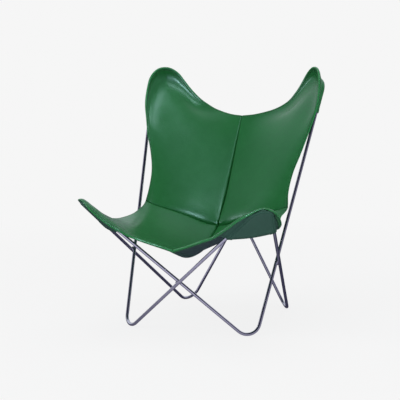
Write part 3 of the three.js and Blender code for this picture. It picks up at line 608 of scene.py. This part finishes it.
def refined(sheet):
    """Grid and band with finer lines near seams and edge, and how full the hem is along the band."""
    grid, rows, cols = sheet.grid, sheet.rows, sheet.cols
    squeeze = np.minimum(1, sheet.band_length / FULL_BAND)
    rings = np.stack([sheet.band_place(sheet.share_at(d * squeeze)) for d in HEM_LINES])
    # rows first, crowded towards the cross seam
    down = [len(grid) - 1 - crowded(grid[::-1, j], rows)[::-1] for j in range(cols + 1)]
    tall = np.stack([cubic(grid[:, j], down[j]) for j in range(cols + 1)], 1)
    side_rings = np.stack([cubic(ring[cols:], down[cols]) for ring in rings])
    # then columns, crowded towards the middle seam
    over = [crowded(line, cols) for line in tall]
    wide = np.stack([cubic(line, places) for line, places in zip(tall, over)])
    rim_rings = np.stack([cubic(ring[: cols + 1], over[0]) for ring in rings])
    band = np.concatenate([rim_rings, side_rings[:, 1:]], axis=1)
    hem = smooth(NARROW, WIDE, sheet.band_length)
    hem = np.concatenate([cubic(hem[: cols + 1], over[0]), cubic(hem[cols:], down[cols])[1:]])
    return wide, band, np.clip(hem, 0, 1)


class Panel:
    """One leather panel: its middle points, and at each its distance from the hem and from both seams."""

    def __init__(self, sheet, side, part):
        self.side, self.part = side, part
        wide, band, hem = refined(sheet)
        cols = wide.shape[1] - 1
        self.band_at = np.arange(band[..., 0].size).reshape(band.shape[:2])
        self.grid_at = self.band_at.size + np.arange(wide[..., 0].size).reshape(wide.shape[:2])
        self.points = np.concatenate([band.reshape(-1, 3), wide.reshape(-1, 3)])
        inner = np.concatenate([self.grid_at[0], self.grid_at[1:, -1]])
        self.quads = np.concatenate([grid_faces(self.grid_at),
                                     grid_faces(np.vstack([self.band_at, inner[None]]))])
        areas = quad_areas(self.points, self.quads)
        self.normals = np.zeros_like(self.points)
        for k in range(4):
            np.add.at(self.normals, self.quads[:, k], areas)
        self.normals = unit(self.normals)
        if dot(areas.sum(0), sheet.bend.up) < 0:
            self.quads = self.quads[:, ::-1]
            self.normals = -self.normals
        size = len(self.points)
        self.rim, self.middle, self.cross = (np.full(size, FAR) for _ in range(3))
        scale = np.minimum(1, sheet.band_length / FULL_BAND).mean()
        self.rim[self.band_at] = (np.array(HEM_LINES) * scale)[:, None]
        self.middle[self.grid_at] = run_length(wide, 1)
        self.middle[self.band_at[:, : cols + 1]] = run_length(band[:, : cols + 1], 1)
        self.cross[self.grid_at] = run_length(wide[::-1], 0)[::-1]
        self.cross[self.band_at[:, cols:]] = run_length(band[:, :cols - 1:-1], 1)[:, ::-1]
        # shares along the seams, 1 where they meet
        self.along_middle, self.along_cross = np.zeros(size), np.zeros(size)
        fall, reach = self.cross[self.grid_at[:, 0]], self.middle[self.grid_at[-1]]
        self.along_middle[self.grid_at] = (1 - fall / (fall[0] + RIM_BAND))[:, None]
        self.along_cross[self.grid_at] = (1 - reach / (reach[-1] + RIM_BAND))[None, :]
        self.hem = np.ones(size)
        self.hem[self.band_at] = hem[None]
        self.cross_line = np.concatenate([self.grid_at[-1], self.band_at[::-1, -1]])

    def flat_size(self):
        """Width and length in metres of the rectangle that the panel is cut from."""
        band = np.linalg.norm(np.diff(self.points[self.band_at], axis=0), axis=2).sum(0)
        cols = self.grid_at.shape[1]
        width = (self.middle[self.grid_at[:, -1]] + np.append(band[cols - 1], band[cols:])).max()
        length = (self.cross[self.grid_at[0]] + band[:cols]).max()
        return width * MM, length * MM


# How the leather dips into its seams and swells beside them: heights and widths in mm. A dip or a swell goes
# from its least height to least and added height between two shares of the way to the place where seams meet.
CROSS_EVENING, MIDDLE_EVENING = 5, 4
MIDDLE_DIPS = {"back": (0.5, 2.8, 0.02, 0.7), "seat": (0.3, 2.2, 0.75, 1)}
MIDDLE_DIP_WIDTH = 3.6
MIDDLE_SWELL, MIDDLE_SWELL_WIDTH = (0.4, 1.4, 0.3, 1), 14
CROSS_DIP, CROSS_DIP_WIDTH = (0.3, 1.8, 0.4, 0.95), 3.0
CROSS_SWELLS = {"back": ((0, 7.0, 0, 0.6), 28), "seat": ((0, 1.5, 0, 0.6), 15)}
FOLDS, FOLD_TURN, FOLD_HEIGHT, FOLD_REACH, FOLD_WIDTH = 11, 0.7, 0.9, 26, 16


def growing(heights, share):
    least, added, low, high = heights
    return least + added * smooth(low, high, share)


def even_normals(panels):
    """Gives both sides of each seam the same normals, so that the panels meet without a step."""
    for side in SIDES:
        back, seat = panels[side, "back"], panels[side, "seat"]
        shared = unit(back.normals[back.cross_line] + seat.normals[seat.cross_line])
        for panel in (back, seat):
            cols = panel.grid_at.shape[1]
            over = np.zeros_like(panel.normals)
            over[panel.grid_at] = shared[:cols][None]
            over[panel.band_at[:, cols - 1:]] = shared[cols - 1]
            over[panel.band_at[:, -1]] = shared[cols - 1:][::-1][: len(panel.band_at)]
            over = np.where(dot(over, over)[:, None] > 0, over, panel.normals)
            normals = unit(lerp(panel.normals, over, bell(panel.cross, CROSS_EVENING)[:, None]))
            level = unit(normals * (0, 1, 1))
            panel.normals = unit(lerp(normals, level, bell(panel.middle, MIDDLE_EVENING)[:, None]))


def shape_seams(panels):
    """Dips the panels into their seams, with the leather swelling beside them."""
    even_normals(panels)
    for panel in panels.values():
        middle, cross = panel.middle, panel.cross
        dip = growing(MIDDLE_DIPS[panel.part], panel.along_middle) * bell(middle, MIDDLE_DIP_WIDTH)
        dip += growing(CROSS_DIP, panel.along_cross) * bell(cross, CROSS_DIP_WIDTH)
        swell = mound(growing(MIDDLE_SWELL, panel.along_middle), middle, MIDDLE_SWELL_WIDTH)
        heights, width = CROSS_SWELLS[panel.part]
        swell += mound(growing(heights, panel.along_cross), cross, width)
        # small folds that run into the place where the four panels meet
        turn = np.arctan2(middle, np.maximum(cross, LEAST_STEP))
        fold = np.cos(turn * FOLDS + panel.side * FOLD_TURN) * FOLD_HEIGHT
        fold *= bell(np.hypot(middle, cross) - FOLD_REACH, FOLD_WIDTH)
        panel.points = panel.points + panel.normals * (swell - dip + fold)[:, None]


# The turned edges: radii of the rolls in mm, and the pillow of the hem with the groove of its stitches
HEM_ROLL, SEAM_ROLL = 4.2, 4.5
PILLOW, PILLOW_AT, PILLOW_WIDTH = 0.7, 6.0, 2.4
GROOVE, GROOVE_WIDTH = 0.8, 0.7
EDGE_STRIP = 1
FOLD_FADE = (0.2, 1.2)
ALLOWANCE_FADE = (0.5, 1.0)
REVERSE_FADE = (1, 1)
SHADED_REACH = 60
STITCH_SEAT = 0.1


def past_hem(distance, fade):
    """0 up to the hem's width and 1 beyond it, with a fade from so far before it to so far behind it."""
    return smooth(HEM - fade[0], HEM + fade[1], distance)


def panel_mesh(panel, name, material):
    """The panel as one closed sheet, its edge folded back and stitched down, its seam allowance behind."""
    half = LEATHER / 2
    rim, hem = panel.rim, panel.hem
    seam = np.minimum(panel.middle, panel.cross)
    rise = quarter_round(rim, HEM_ROLL)
    thick = half + hem * LEATHER
    centre, radius = (half - thick) / 2, (half + thick) / 2
    pillow = PILLOW * bell(rim - PILLOW_AT, PILLOW_WIDTH) - GROOVE * bell(rim - STITCH_OFFSET, GROOVE_WIDTH)
    front = lerp(-half, centre + radius * rise + hem * pillow, quarter_round(seam, SEAM_ROLL))
    turned = lerp(half, radius - centre, 1 - past_hem(rim, FOLD_FADE))
    hem_back = np.where(rim < HEM_ROLL, radius * rise - centre, turned)
    taper = np.where(rim < HEM_ROLL, rise * hem, 1)
    allowance = half + LEATHER * (1 - past_hem(seam, ALLOWANCE_FADE)) * taper
    behind = np.maximum(hem_back, np.where(rim < EDGE_STRIP, -half, allowance))
    ahead = panel.points + panel.normals * front[:, None]
    after = panel.points - panel.normals * behind[:, None]
    size = len(panel.points)
    faces = [tuple(q) for q in panel.quads] + [tuple(q[::-1] + size) for q in panel.quads]
    # the borders are closed by a strip from the front sheet to the back one
    edges = {(int(a), int(b)): True for q in panel.quads for a, b in zip(q, np.roll(q, -1))}
    faces += [(b, a, a + size, b + size) for a, b in edges if (b, a) not in edges]
    obj = make_object(name, np.vstack([ahead, after]), faces, material)
    # the distance from the edge, by which the leather paints highlights and shade along its folded edge
    add_attribute(obj, "rim", np.tile(np.minimum(rim, SHADED_REACH), 2))
    # the hem that is folded back shows the front face of the leather
    add_attribute(obj, "reverse", np.concatenate([np.zeros(size), past_hem(rim, REVERSE_FADE)]))
    line = panel.band_at[HEM_LINES.index(STITCH_OFFSET)]
    up = panel.normals[line]
    stitches = [(ahead[line] + up * STITCH_SEAT, up), (after[line] - up * STITCH_SEAT, -up)]
    return obj, stitches


STITCH_PITCH, THREAD_RADIUS = 5.0, 0.55
STITCH_START_SHARE, STITCH_END_SHARE = 0.14, 0.86
# along a stitch: shares of its length and of the thread's radius, and its lift in mm, with sunken ends
STITCH_PROFILE = ((0, 0.25, -0.5), (0.2, 0.85, 0.0), (0.5, 1.0, 0.1), (0.8, 0.85, 0.0), (1, 0.25, -0.5))
STITCH_SIDES = 6


def stitch_mesh(name, lines, material):
    """Rows of short threads along lines of points, each a small tapered capsule."""
    points, faces = [], []
    n = STITCH_SIDES
    ring = [(math.cos(2 * math.pi * q / n), math.sin(2 * math.pi * q / n)) for q in range(n)]
    last = (len(STITCH_PROFILE) - 1) * n
    for line, square in lines:
        length = lengths(line)
        many = int(length[-1] / STITCH_PITCH)
        for i in range(many):
            a, b = (length[-1] * (i + share) / many for share in (STITCH_START_SHARE, STITCH_END_SHARE))
            start, end = along_line(line, length, [a, b])
            up = unit(along_line(square, length, [(a + b) / 2])[0])
            across = unit(np.cross(unit(end - start), up))
            base = len(points)
            for share, width, lift in STITCH_PROFILE:
                place = lerp(start, end, share) + up * lift
                points += [place + THREAD_RADIUS * width * (across * x + up * y) for x, y in ring]
            faces += [(r + q, r + (q + 1) % n, r + n + (q + 1) % n, r + n + q)
                      for r in range(base, base + last, n) for q in range(n)]
            faces += [tuple(range(base + n - 1, base - 1, -1)), tuple(range(base + last, base + last + n))]
    return make_object(name, points, faces, material)


# A pocket's cross-section and its back: shares, angles and distances in mm
FREE_EDGE = 2
FREE_NARROWING = 8
TANGENT_SHARE = 0.02
NARROW_TURN, WIDE_TURN = math.pi / 5, math.pi / 14
FLANGE_SHARES, WRAP_SHARES = (0, 0.15, 0.5, 0.85, 1), (0, 0.2, 0.4, 0.6, 0.8, 1)
LIP_LINES = (5, 10, POCKET_LIP)
# the back starts from this line of the wrap, counted from the end of the lip
BACK_START = -4
BACK_ROWS, BACK_COLS, BACK_CROWDING = 34, 20, 1.4
BACK_LIFT, BULGE_START_SHARE, BULGE_POWER = 0.9, 0.1, 1.2
MOUTH_HEM = 9


def pocket_arms(sheet):
    """The lines of the pocket from its flange round the rod to its lip, and the depth of each."""
    bend, wide = sheet.bend, smooth(NARROW, WIDE, sheet.band_length)

    def wrap(angle):
        angle = np.broadcast_to(angle, (sheet.count + 1,))[:, None]
        return sheet.axis + WRAP_RADIUS * (sheet.outward * np.cos(angle) - bend.up * np.sin(angle))

    def hang(from_rod):
        share = sheet.share_at(sheet.band_length - from_rod)
        ahead, behind = (sheet.band_place(np.clip(share + d, 0, 1)) for d in (-TANGENT_SHARE, TANGENT_SHARE))
        square = unit(np.cross(unit(ahead - behind), np.cross(sheet.outward, bend.up)))
        square = np.where((dot(square, bend.up - sheet.outward) < 0)[:, None], -square, square)
        lift = unit(lerp(np.broadcast_to(bend.up, square.shape), square, wide[:, None]))
        return sheet.band_place(share) - lift * (LIFT + GAP)

    free = sheet.band_length - np.minimum(1, wide * FREE_NARROWING) * (HEM + FREE_EDGE)
    end = np.minimum(STITCH_OFFSET + FLANGE, free)
    start = np.minimum(STITCH_OFFSET, end / 2)
    turn = lerp(NARROW_TURN, WIDE_TURN, wide)
    low, tip = wrap(turn), hang(end)
    begin = lerp(lerp(low, tip, 0.5), hang(start), wide[:, None])
    rings = [lerp(tip, begin, x) for x in FLANGE_SHARES] + [lerp(begin, low, 0.5)]
    rings += [wrap(lerp(turn, math.pi / 2, x)) for x in WRAP_SHARES]
    rings += [sheet.axis - sheet.outward * x - bend.up * WRAP_RADIUS for x in LIP_LINES]
    rings, fall = np.stack(rings, 1), sheet.fall

    def cut(outer, inner):
        return lerp(rings[inner], rings[outer], (bend.depth - fall[inner]) / (fall[outer] - fall[inner]))

    inside = [k for k in range(1, sheet.count) if fall[k] < bend.depth]
    arms, depths = [rings[k] for k in inside], [fall[k] for k in inside]
    if inside[0] > 1:
        arms.insert(0, cut(inside[0] - 1, inside[0]))
        depths.insert(0, bend.depth)
    if inside[-1] < sheet.count - 1:
        arms.append(cut(inside[-1] + 1, inside[-1]))
        depths.append(bend.depth)
    return np.array(arms), np.array(depths)


def pocket_mesh(name, sheet, material, bulge):
    """A pocket behind a bend: a flange on the band, a wrap round the rod, and a back with its mouth."""
    bend = sheet.bend
    arms, depths = pocket_arms(sheet)
    # between the arms the back is flat, in straight rows from arm to arm down to the mouth
    tip = int(np.argmin(depths))

    def arm_at(lines, depth):
        rising = np.maximum.accumulate(depths[lines]) + np.arange(len(lines)) * LEAST_STEP
        at = np.interp(depth, rising, np.arange(len(lines)))
        i = int(np.clip(math.floor(at), 0, len(lines) - 2))
        return lerp(arms[lines[i], BACK_START], arms[lines[i + 1], BACK_START], at - i)

    levels = lerp(depths[tip], bend.depth, np.linspace(0, 1, BACK_ROWS + 1) ** BACK_CROWDING)
    back = []
    for depth in levels:
        left, right = arm_at(np.arange(tip, -1, -1), depth), arm_at(np.arange(tip, len(arms)), depth)
        full = float(smooth(BULGE_START_SHARE, 1, depth / bend.depth))
        for w in np.linspace(0, 1, BACK_COLS + 1):
            sag = BACK_LIFT + bulge * math.sin(math.pi * w) ** BULGE_POWER * full
            back.append(lerp(left, right, w) - bend.up * sag)
    points = np.concatenate([arms.reshape(-1, 3), back])
    arm_index = np.arange(arms[..., 0].size).reshape(arms.shape[:2])
    back_index = arm_index.size + np.arange(len(back)).reshape(-1, BACK_COLS + 1)
    faces = np.concatenate([grid_faces(arm_index), grid_faces(back_index)])
    obj = make_object(name, points, faces, material)
    rim = bend.depth - np.concatenate([np.repeat(depths, arms.shape[1]), np.repeat(levels, BACK_COLS + 1)])
    group = obj.vertex_groups.new(name="thick")
    for k, distance in enumerate(rim):
        group.add([k], 1.0 if distance < MOUTH_HEM else 0.0, "REPLACE")
    # the distance from the mouth, by which the leather paints highlights and shade along the mouth's edge
    add_attribute(obj, "rim", np.clip(rim, 0, SHADED_REACH))
    solid = obj.modifiers.new("thickness", "SOLIDIFY")
    solid.thickness, solid.offset = POCKET_SHEET * 2 * MM, 0
    solid.vertex_group, solid.thickness_vertex_group = "thick", 0.5
    return obj, area_of(points, faces)


# Materials, with the height of their relief in metres
CREASE_RELIEF, GRAIN_RELIEF, FINE_RELIEF = 0.006, 0.0003, 0.0002


class Graph:
    """A node tree, built by one short call for each node with its inputs and links."""

    def __init__(self, tree):
        self.nodes, self.links = tree.nodes, tree.links
        self.nodes.clear()

    def feed(self, socket, value):
        if isinstance(value, bpy.types.NodeSocket):
            self.links.new(value, socket)
        else:
            socket.default_value = (*value, 1) if socket.type == "RGBA" else value

    def add(self, kind, *inputs, options=None, **named):
        """Adds a node. Each input, by place or by name, is a value or the output that feeds it."""
        node = self.nodes.new("ShaderNode" + kind)
        for key, value in (options or {}).items():
            setattr(node, key, value)
        for socket, value in zip(node.inputs, inputs):
            self.feed(socket, value)
        for key, value in named.items():
            self.feed(node.inputs[key.replace("_", " ")], value)
        return node

    def noise(self, place, **values):
        return self.add("TexNoise", Vector=place, **values).outputs["Fac"]

    def attribute(self, name):
        return self.add("Attribute", options=dict(attribute_name=name)).outputs["Fac"]

    def ray(self, kind):
        return self.add("LightPath").outputs["Is " + kind + " Ray"]

    def math(self, operation, *inputs):
        return self.add("Math", *inputs, options=dict(operation=operation)).outputs[0]

    def vector_math(self, operation, *inputs):
        return self.add("VectorMath", *inputs, options=dict(operation=operation)).outputs["Value"]

    def remap(self, value, low, high, to_low, to_high):
        return self.add("MapRange", value, low, high, to_low, to_high).outputs["Result"]

    def bump(self, height, strength, distance, **normal):
        node = self.add("Bump", Height=height, Strength=strength, Distance=distance, **normal)
        return node.outputs["Normal"]

    def mix_shaders(self, factor, a, b):
        return self.add("MixShader", factor, a, b).outputs[0]

    def mix_colours(self, kind, factor, a, b):
        node = self.add("Mix", factor, options=dict(data_type="RGBA", blend_type=kind))
        for socket, value in zip([s for s in node.inputs if s.type == "RGBA"], (a, b)):
            self.feed(socket, value)
        return [s for s in node.outputs if s.type == "RGBA"][0]

    def ramp(self, factor, *stops):
        node = self.add("ValToRGB", factor)
        elements = node.color_ramp.elements
        while len(elements) < len(stops):
            elements.new(0.5)
        for element, (position, colour) in zip(elements, stops):
            element.position = position
            element.color = (*colour, 1)
        return node.outputs["Color"]

    def shader(self, **values):
        """Ends the tree in one surface shader."""
        self.add("OutputMaterial", self.add("BsdfPrincipled", **values).outputs[0])


def new_material(name):
    material = bpy.data.materials.new(name)
    material.use_nodes = True
    return material, Graph(material.node_tree)


# painted light and shade from the folded edge inwards: a painted highlight on the rounded edge, painted shade
# in the fold, a painted highlight on the ridge beside the stitches, and painted shade in their groove
EDGE_REACH = 15
PAINTED_EDGE_SHADING = ((0.0, (0.82, 0.74, 0.78)), (0.1, (0.64, 0.65, 0.65)), (0.2, (0.34, 0.35, 0.34)),
              (0.42, (0.36, 0.37, 0.36)), (0.52, (0.72, 0.62, 0.6)), (0.62, (0.3, 0.32, 0.3)),
              (0.8, (0.5, 0.5, 0.5)))


def leather_material(name, dark, light, behind, roughness):
    """Dyed, lightly waxed leather: cloudy colour, pebbled grain, and painted highlights and shade along its
    folded edges.
    """
    material, g = new_material(name)
    place = g.add("TexCoord").outputs["Object"]
    clouds = g.noise(place, Scale=4.5, Detail=4.0, Roughness=0.55)
    mottle = g.noise(place, Scale=42.0, Detail=5.0, Roughness=0.62)
    pores = g.noise(place, Scale=1100.0, Detail=2.0)
    crease = g.noise(place, Scale=9.0, Detail=5.0, Roughness=0.6, Distortion=0.6)
    cells = dict(feature="DISTANCE_TO_EDGE")
    grain = g.add("TexVoronoi", options=cells, Vector=place, Scale=560.0).outputs["Distance"]
    cloudy = g.math("MULTIPLY_ADD", mottle, 0.45, g.remap(clouds, 0.2, 0.8, 0.0, 0.6))
    colour = g.ramp(cloudy, (0.2, dark), (0.85, light))
    colour = g.mix_colours("MIX", g.attribute("reverse"), colour, behind)
    # the painted light and shade of the edge is written at half strength, so the pits carry the other factor
    # of two
    pits = g.math("MULTIPLY", g.remap(grain, 0.0, 0.12, 0.82, 1.0), 2.0)
    colour = g.mix_colours("MULTIPLY", 1.0, colour, pits)
    # painted highlights on the rounded edge and on the ridge beside the stitches, painted shade in the fold
    # and in the stitch groove
    edge = g.ramp(g.remap(g.attribute("rim"), 0, EDGE_REACH, 0, 1), *PAINTED_EDGE_SHADING)
    colour = g.mix_colours("MULTIPLY", 1.0, colour, edge)
    normal = g.bump(crease, 0.12, CREASE_RELIEF)
    normal = g.bump(grain, 0.07, GRAIN_RELIEF, Normal=normal)
    normal = g.bump(pores, 0.03, FINE_RELIEF, Normal=normal)
    rough = g.remap(mottle, 0.3, 0.7, roughness - 0.04, roughness + 0.05)
    g.shader(Base_Color=colour, Roughness=rough, Normal=normal, Specular_IOR_Level=0.38,
             Specular_Tint=(0.52, 0.88, 1.0), Coat_Weight=0.06, Coat_Roughness=0.25)
    return material


def metal_material(name, dark, light, smoothest, roughest, haze_scale):
    """Plated steel with a faint uneven haze."""
    material, g = new_material(name)
    place = g.add("TexCoord").outputs["Object"]
    haze = g.noise(place, Scale=haze_scale, Detail=6.0, Roughness=0.6)
    specks = g.noise(place, Scale=haze_scale * 9, Detail=3.0)
    g.shader(Metallic=1.0, Base_Color=g.ramp(haze, (0.3, dark), (0.7, light)),
             Roughness=g.remap(haze, 0.3, 0.7, smoothest, roughest), Normal=g.bump(specks, 0.01, FINE_RELIEF))
    return material


def thread_material():
    """Twisted thread in the colour of the leather."""
    material, g = new_material("thread")
    place = g.add("TexCoord").outputs["Object"]
    slant = dict(bands_direction="DIAGONAL")
    twist = g.add("TexWave", options=slant, Vector=place, Scale=620.0, Distortion=1.5).outputs["Fac"]
    g.shader(Roughness=0.55, Base_Color=g.ramp(twist, (0.0, (0.035, 0.15, 0.06)), (1.0, (0.08, 0.27, 0.12))),
             Normal=g.bump(twist, 0.4, FINE_RELIEF))
    return material


GREEN = leather_material("green_leather", (0.0125, 0.114, 0.027), (0.018, 0.152, 0.037),
                         (0.026, 0.068, 0.05), 0.33)
LINING = leather_material("pocket_leather", (0.024, 0.078, 0.048), (0.034, 0.102, 0.064),
                          (0.03, 0.09, 0.055), 0.5)
CHROME = metal_material("chromed_steel", (0.5, 0.49, 0.57), (0.62, 0.6, 0.68), 0.1, 0.15, 40)
WELD = metal_material("plated_weld", (0.36, 0.36, 0.42), (0.55, 0.54, 0.6), 0.2, 0.36, 240)
THREAD = thread_material()

# Rods and welds
ROD_SIDES, ROD_STEPS, ROD_RUNS = 28, 30, 6
ROD_START = (0.3, 0.2, 0.9)


def rod_object(name, corners):
    """A closed loop of round rod, flattened where it stands on the floor."""
    rings = loop_rings(corners, ROD_STEPS, ROD_RUNS)
    centre, along = np.array([r[0] for r in rings]), np.array([r[1] for r in rings])
    square = [unit(np.cross(along[0], ROD_START))]
    for a in along[1:]:
        square.append(unit(square[-1] - a * dot(square[-1], a)))
    square = np.array(square)
    # the turn that is left over after the way round is shared out, so that the loop closes
    home = unit(square[-1] - along[0] * dot(square[-1], along[0]))
    twist = math.atan2(float(dot(np.cross(home, square[0]), along[0])), float(dot(home, square[0])))
    angle = (2 * math.pi * np.arange(ROD_SIDES)[None] / ROD_SIDES
             + (twist * np.arange(len(rings)) / len(rings))[:, None])[..., None]
    other = np.cross(along, square)
    points = centre[:, None] + ROD / 2 * (np.cos(angle) * square[:, None] + np.sin(angle) * other[:, None])
    points[..., 2] = np.maximum(points[..., 2], 0)
    index = np.arange(len(rings) * ROD_SIDES).reshape(-1, ROD_SIDES)
    index = np.vstack([index, index[:1]])
    faces = grid_faces(np.hstack([index, index[:, :1]]))[:, ::-1]
    return make_object(name, points.reshape(-1, 3), faces, CHROME)


for side, name in SIDES.items():
    rod = rod_object("rod_" + name, LOOPS[side])
    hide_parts("loop_" + name + "_ear")
    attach(rod, "root")

for name in ("weld_front", "weld_back", "weld_left", "weld_right"):
    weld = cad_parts[name]
    weld.data.materials.clear()
    weld.data.materials.append(WELD)

# The sling
# how a pocket's name starts, its leather, and how far its back bulges in mm
POCKET_LOOKS = {"back": ("ear_pocket_", GREEN, 2), "seat": ("wing_pocket_", LINING, 5)}

halves = {side: build_half(side) for side in SIDES}
panels = {(side, part): Panel(halves[side][part], side, part) for side in SIDES for part in ("back", "seat")}
shape_seams(panels)
stitch_lines, leathers = [], []
for (side, part), panel in panels.items():
    name = SIDES[side]
    leather, stitches = panel_mesh(panel, part + "_leather_" + name, GREEN)
    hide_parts(part + "_panel_" + name)
    start, material, bulge = POCKET_LOOKS[part]
    pocket, pocket_area = pocket_mesh(start + name + "_leather", halves[side][part], material, bulge)
    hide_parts(start + name)
    panel.flat_size()
    for piece in (leather, pocket):
        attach(piece, "root")
    stitch_lines += stitches
    leathers += [leather.name, pocket.name]

threads = stitch_mesh("hem_stitches", stitch_lines, THREAD)
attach(threads, "root")

# Stage: the camera sees a pale backdrop, and the metal reflects a set with a pale and a dark side
BACKDROP = (0.921, 0.921, 0.921)
FRONT_WAY = (0.37, -0.93, 0.0)
FLOOR_HALF, FLOOR_TURN = 9, 4
SHADED_FROM, SHADED_TO = 0.4, 2.6


def make_floor():
    """A floor in the backdrop's tone for the camera, and with a pale and a dark side for the metal."""
    mesh = bpy.data.meshes.new("floor")
    corners = [(x * FLOOR_HALF, y * FLOOR_HALF, 0) for x, y in ((-1, -1), (1, -1), (1, 1), (-1, 1))]
    mesh.from_pydata(corners, [], [(0, 1, 2, 3)])
    material, g = new_material("floor")
    matt = g.add("BsdfPrincipled", Base_Color=(0.86, 0.86, 0.86), Roughness=0.9, Specular_IOR_Level=0.1)
    glow = g.add("Emission", Color=BACKDROP, Strength=1.0)
    place = g.add("TexCoord").outputs["Object"]
    # the camera sees the backdrop's tone, with the shading let through only near the chair
    away = g.vector_math("LENGTH", place)
    plain = g.remap(away, SHADED_FROM, SHADED_TO, 0.9, 1.0)
    seen = g.mix_shaders(g.math("MULTIPLY", plain, g.ray("Camera")), matt.outputs[0], glow.outputs[0])
    # in the metal the floor is pale in front of the chair and dark behind it
    toward = g.remap(g.vector_math("DOT_PRODUCT", place, FRONT_WAY), -FLOOR_TURN, FLOOR_TURN, 0, 1)
    tone = g.ramp(toward, (0.0, (0.03, 0.03, 0.06)), (0.5, (0.06, 0.06, 0.1)), (0.6, (0.85, 0.84, 1.0)),
                  (1.0, (0.7, 0.7, 0.85)))
    mirror = g.add("Emission", Color=tone, Strength=1.0)
    g.add("OutputMaterial", g.mix_shaders(g.ray("Glossy"), seen, mirror.outputs[0]))
    mesh.materials.append(material)
    floor = bpy.data.objects.new("floor", mesh)
    bpy.context.scene.collection.objects.link(floor)


def make_world():
    """A pale backdrop for the camera, and for the metal a bright set with a dark side behind the camera."""
    world = bpy.data.worlds.new("studio")
    bpy.context.scene.world = world
    world.use_nodes = True
    g = Graph(world.node_tree)
    way = g.add("TexCoord").outputs["Generated"]
    height = g.add("SeparateXYZ", way).outputs["Z"]
    front = g.ramp(height, (0.0, (0.5, 0.5, 0.62)), (0.3, (0.25, 0.25, 0.33)), (0.6, (0.02, 0.02, 0.04)))
    rear = g.ramp(height, (0.0, (0.1, 0.1, 0.14)), (0.08, (0.16, 0.16, 0.2)), (0.22, (0.8, 0.85, 0.92)))
    side = g.remap(g.vector_math("DOT_PRODUCT", way, FRONT_WAY), -0.35, 0.1, 0, 1)
    soft = g.add("Background", Color=(0.95, 0.97, 1.0), Strength=0.5)
    seen = g.add("Background", Color=BACKDROP, Strength=1.0)
    mirror = g.add("Background", Color=g.mix_colours("MIX", side, rear, front), Strength=1.0)
    lit = g.mix_shaders(g.ray("Glossy"), soft.outputs[0], mirror.outputs[0])
    g.add("OutputWorld", g.mix_shaders(g.ray("Camera"), lit, seen.outputs[0]))


def area_light(name, place, target, size, power, colour, shines_on):
    """A soft light. One that names the pieces it shines on shows only as a gloss, and on those alone."""
    data = bpy.data.lights.new(name, "AREA")
    data.shape = "RECTANGLE"
    data.size, data.size_y = size
    data.energy, data.color = power, colour
    light = bpy.data.objects.new(name, data)
    light.location = place
    light.rotation_euler = (Vector(target) - Vector(place)).to_track_quat("-Z", "Y").to_euler()
    shine = len(shines_on) > 0
    light.visible_camera, light.visible_glossy, light.visible_diffuse = False, shine, not shine
    if shine:
        light.light_linking.receiver_collection = bpy.data.collections.new(name + "_pieces")
        for piece in shines_on:
            light.light_linking.receiver_collection.objects.link(bpy.data.objects[piece])
    bpy.context.scene.collection.objects.link(light)


# name, place, target and size in metres, power in watts, colour, and the pieces that a gloss shines on
WHITE, COOL = (1, 1, 1), (0.93, 0.97, 1.0)
SEAM_LEATHERS = ["back_leather_left", "seat_leather_left", "seat_leather_right"]
LIGHTS = [
    ("key", (-1.9, -2.3, 2.6), (0, 0, 0.45), (1.5, 1.5), 48, WHITE, ()),
    ("fill", (3.0, -1.3, 1.6), (0, 0, 0.45), (1.8, 1.8), 30, COOL, ()),
    ("top", (0, 0.2, 3.0), (0, 0, 0.4), (2.2, 2.2), 22, WHITE, ()),
    ("ear_shine", (1.2, -0.25, 2.5), (-0.3, 0.25, 0.8), (0.6, 0.6), 14, WHITE, leathers),
    ("seam_shine", (1.3, -1.8, 1.25), (-0.08, 0.09, 0.37), (0.45, 1.1), 60, WHITE, SEAM_LEATHERS),
    ("rear", (2.6, 2.0, 1.9), (0, 0, 0.5), (1.2, 1.2), 14, WHITE, ()),
    ("side_shine", (-2.0, -0.35, 1.0), (0.2, 0.37, 0.77), (0.3, 0.6), 9, WHITE, leathers),
]
make_floor()
make_world()
for light in LIGHTS:
    area_light(*light)

# The camera stands where the photograph was taken from; its place is in the part's sizes, before the shift.
CAMERA_PLACE, CAMERA_TARGET = (1311.4, -3545.2, 837.9), (0, -269.0, 430.1)
camera_data = bpy.data.cameras.new("camera")
camera_data.lens, camera_data.sensor_width = 94.8, 36
camera_data.shift_x, camera_data.shift_y = 0.0005, -0.00225
camera = bpy.data.objects.new("camera", camera_data)
bpy.context.scene.collection.objects.link(camera)
place, target = (Vector((np.array(v) + OFFSET) * MM) for v in (CAMERA_PLACE, CAMERA_TARGET))
camera.location = place
camera.rotation_euler = (target - place).to_track_quat("-Z", "Y").to_euler()
bpy.context.scene.camera = camera
bpy.context.scene.view_settings.view_transform = "Standard"

bpy.context.view_layer.update()
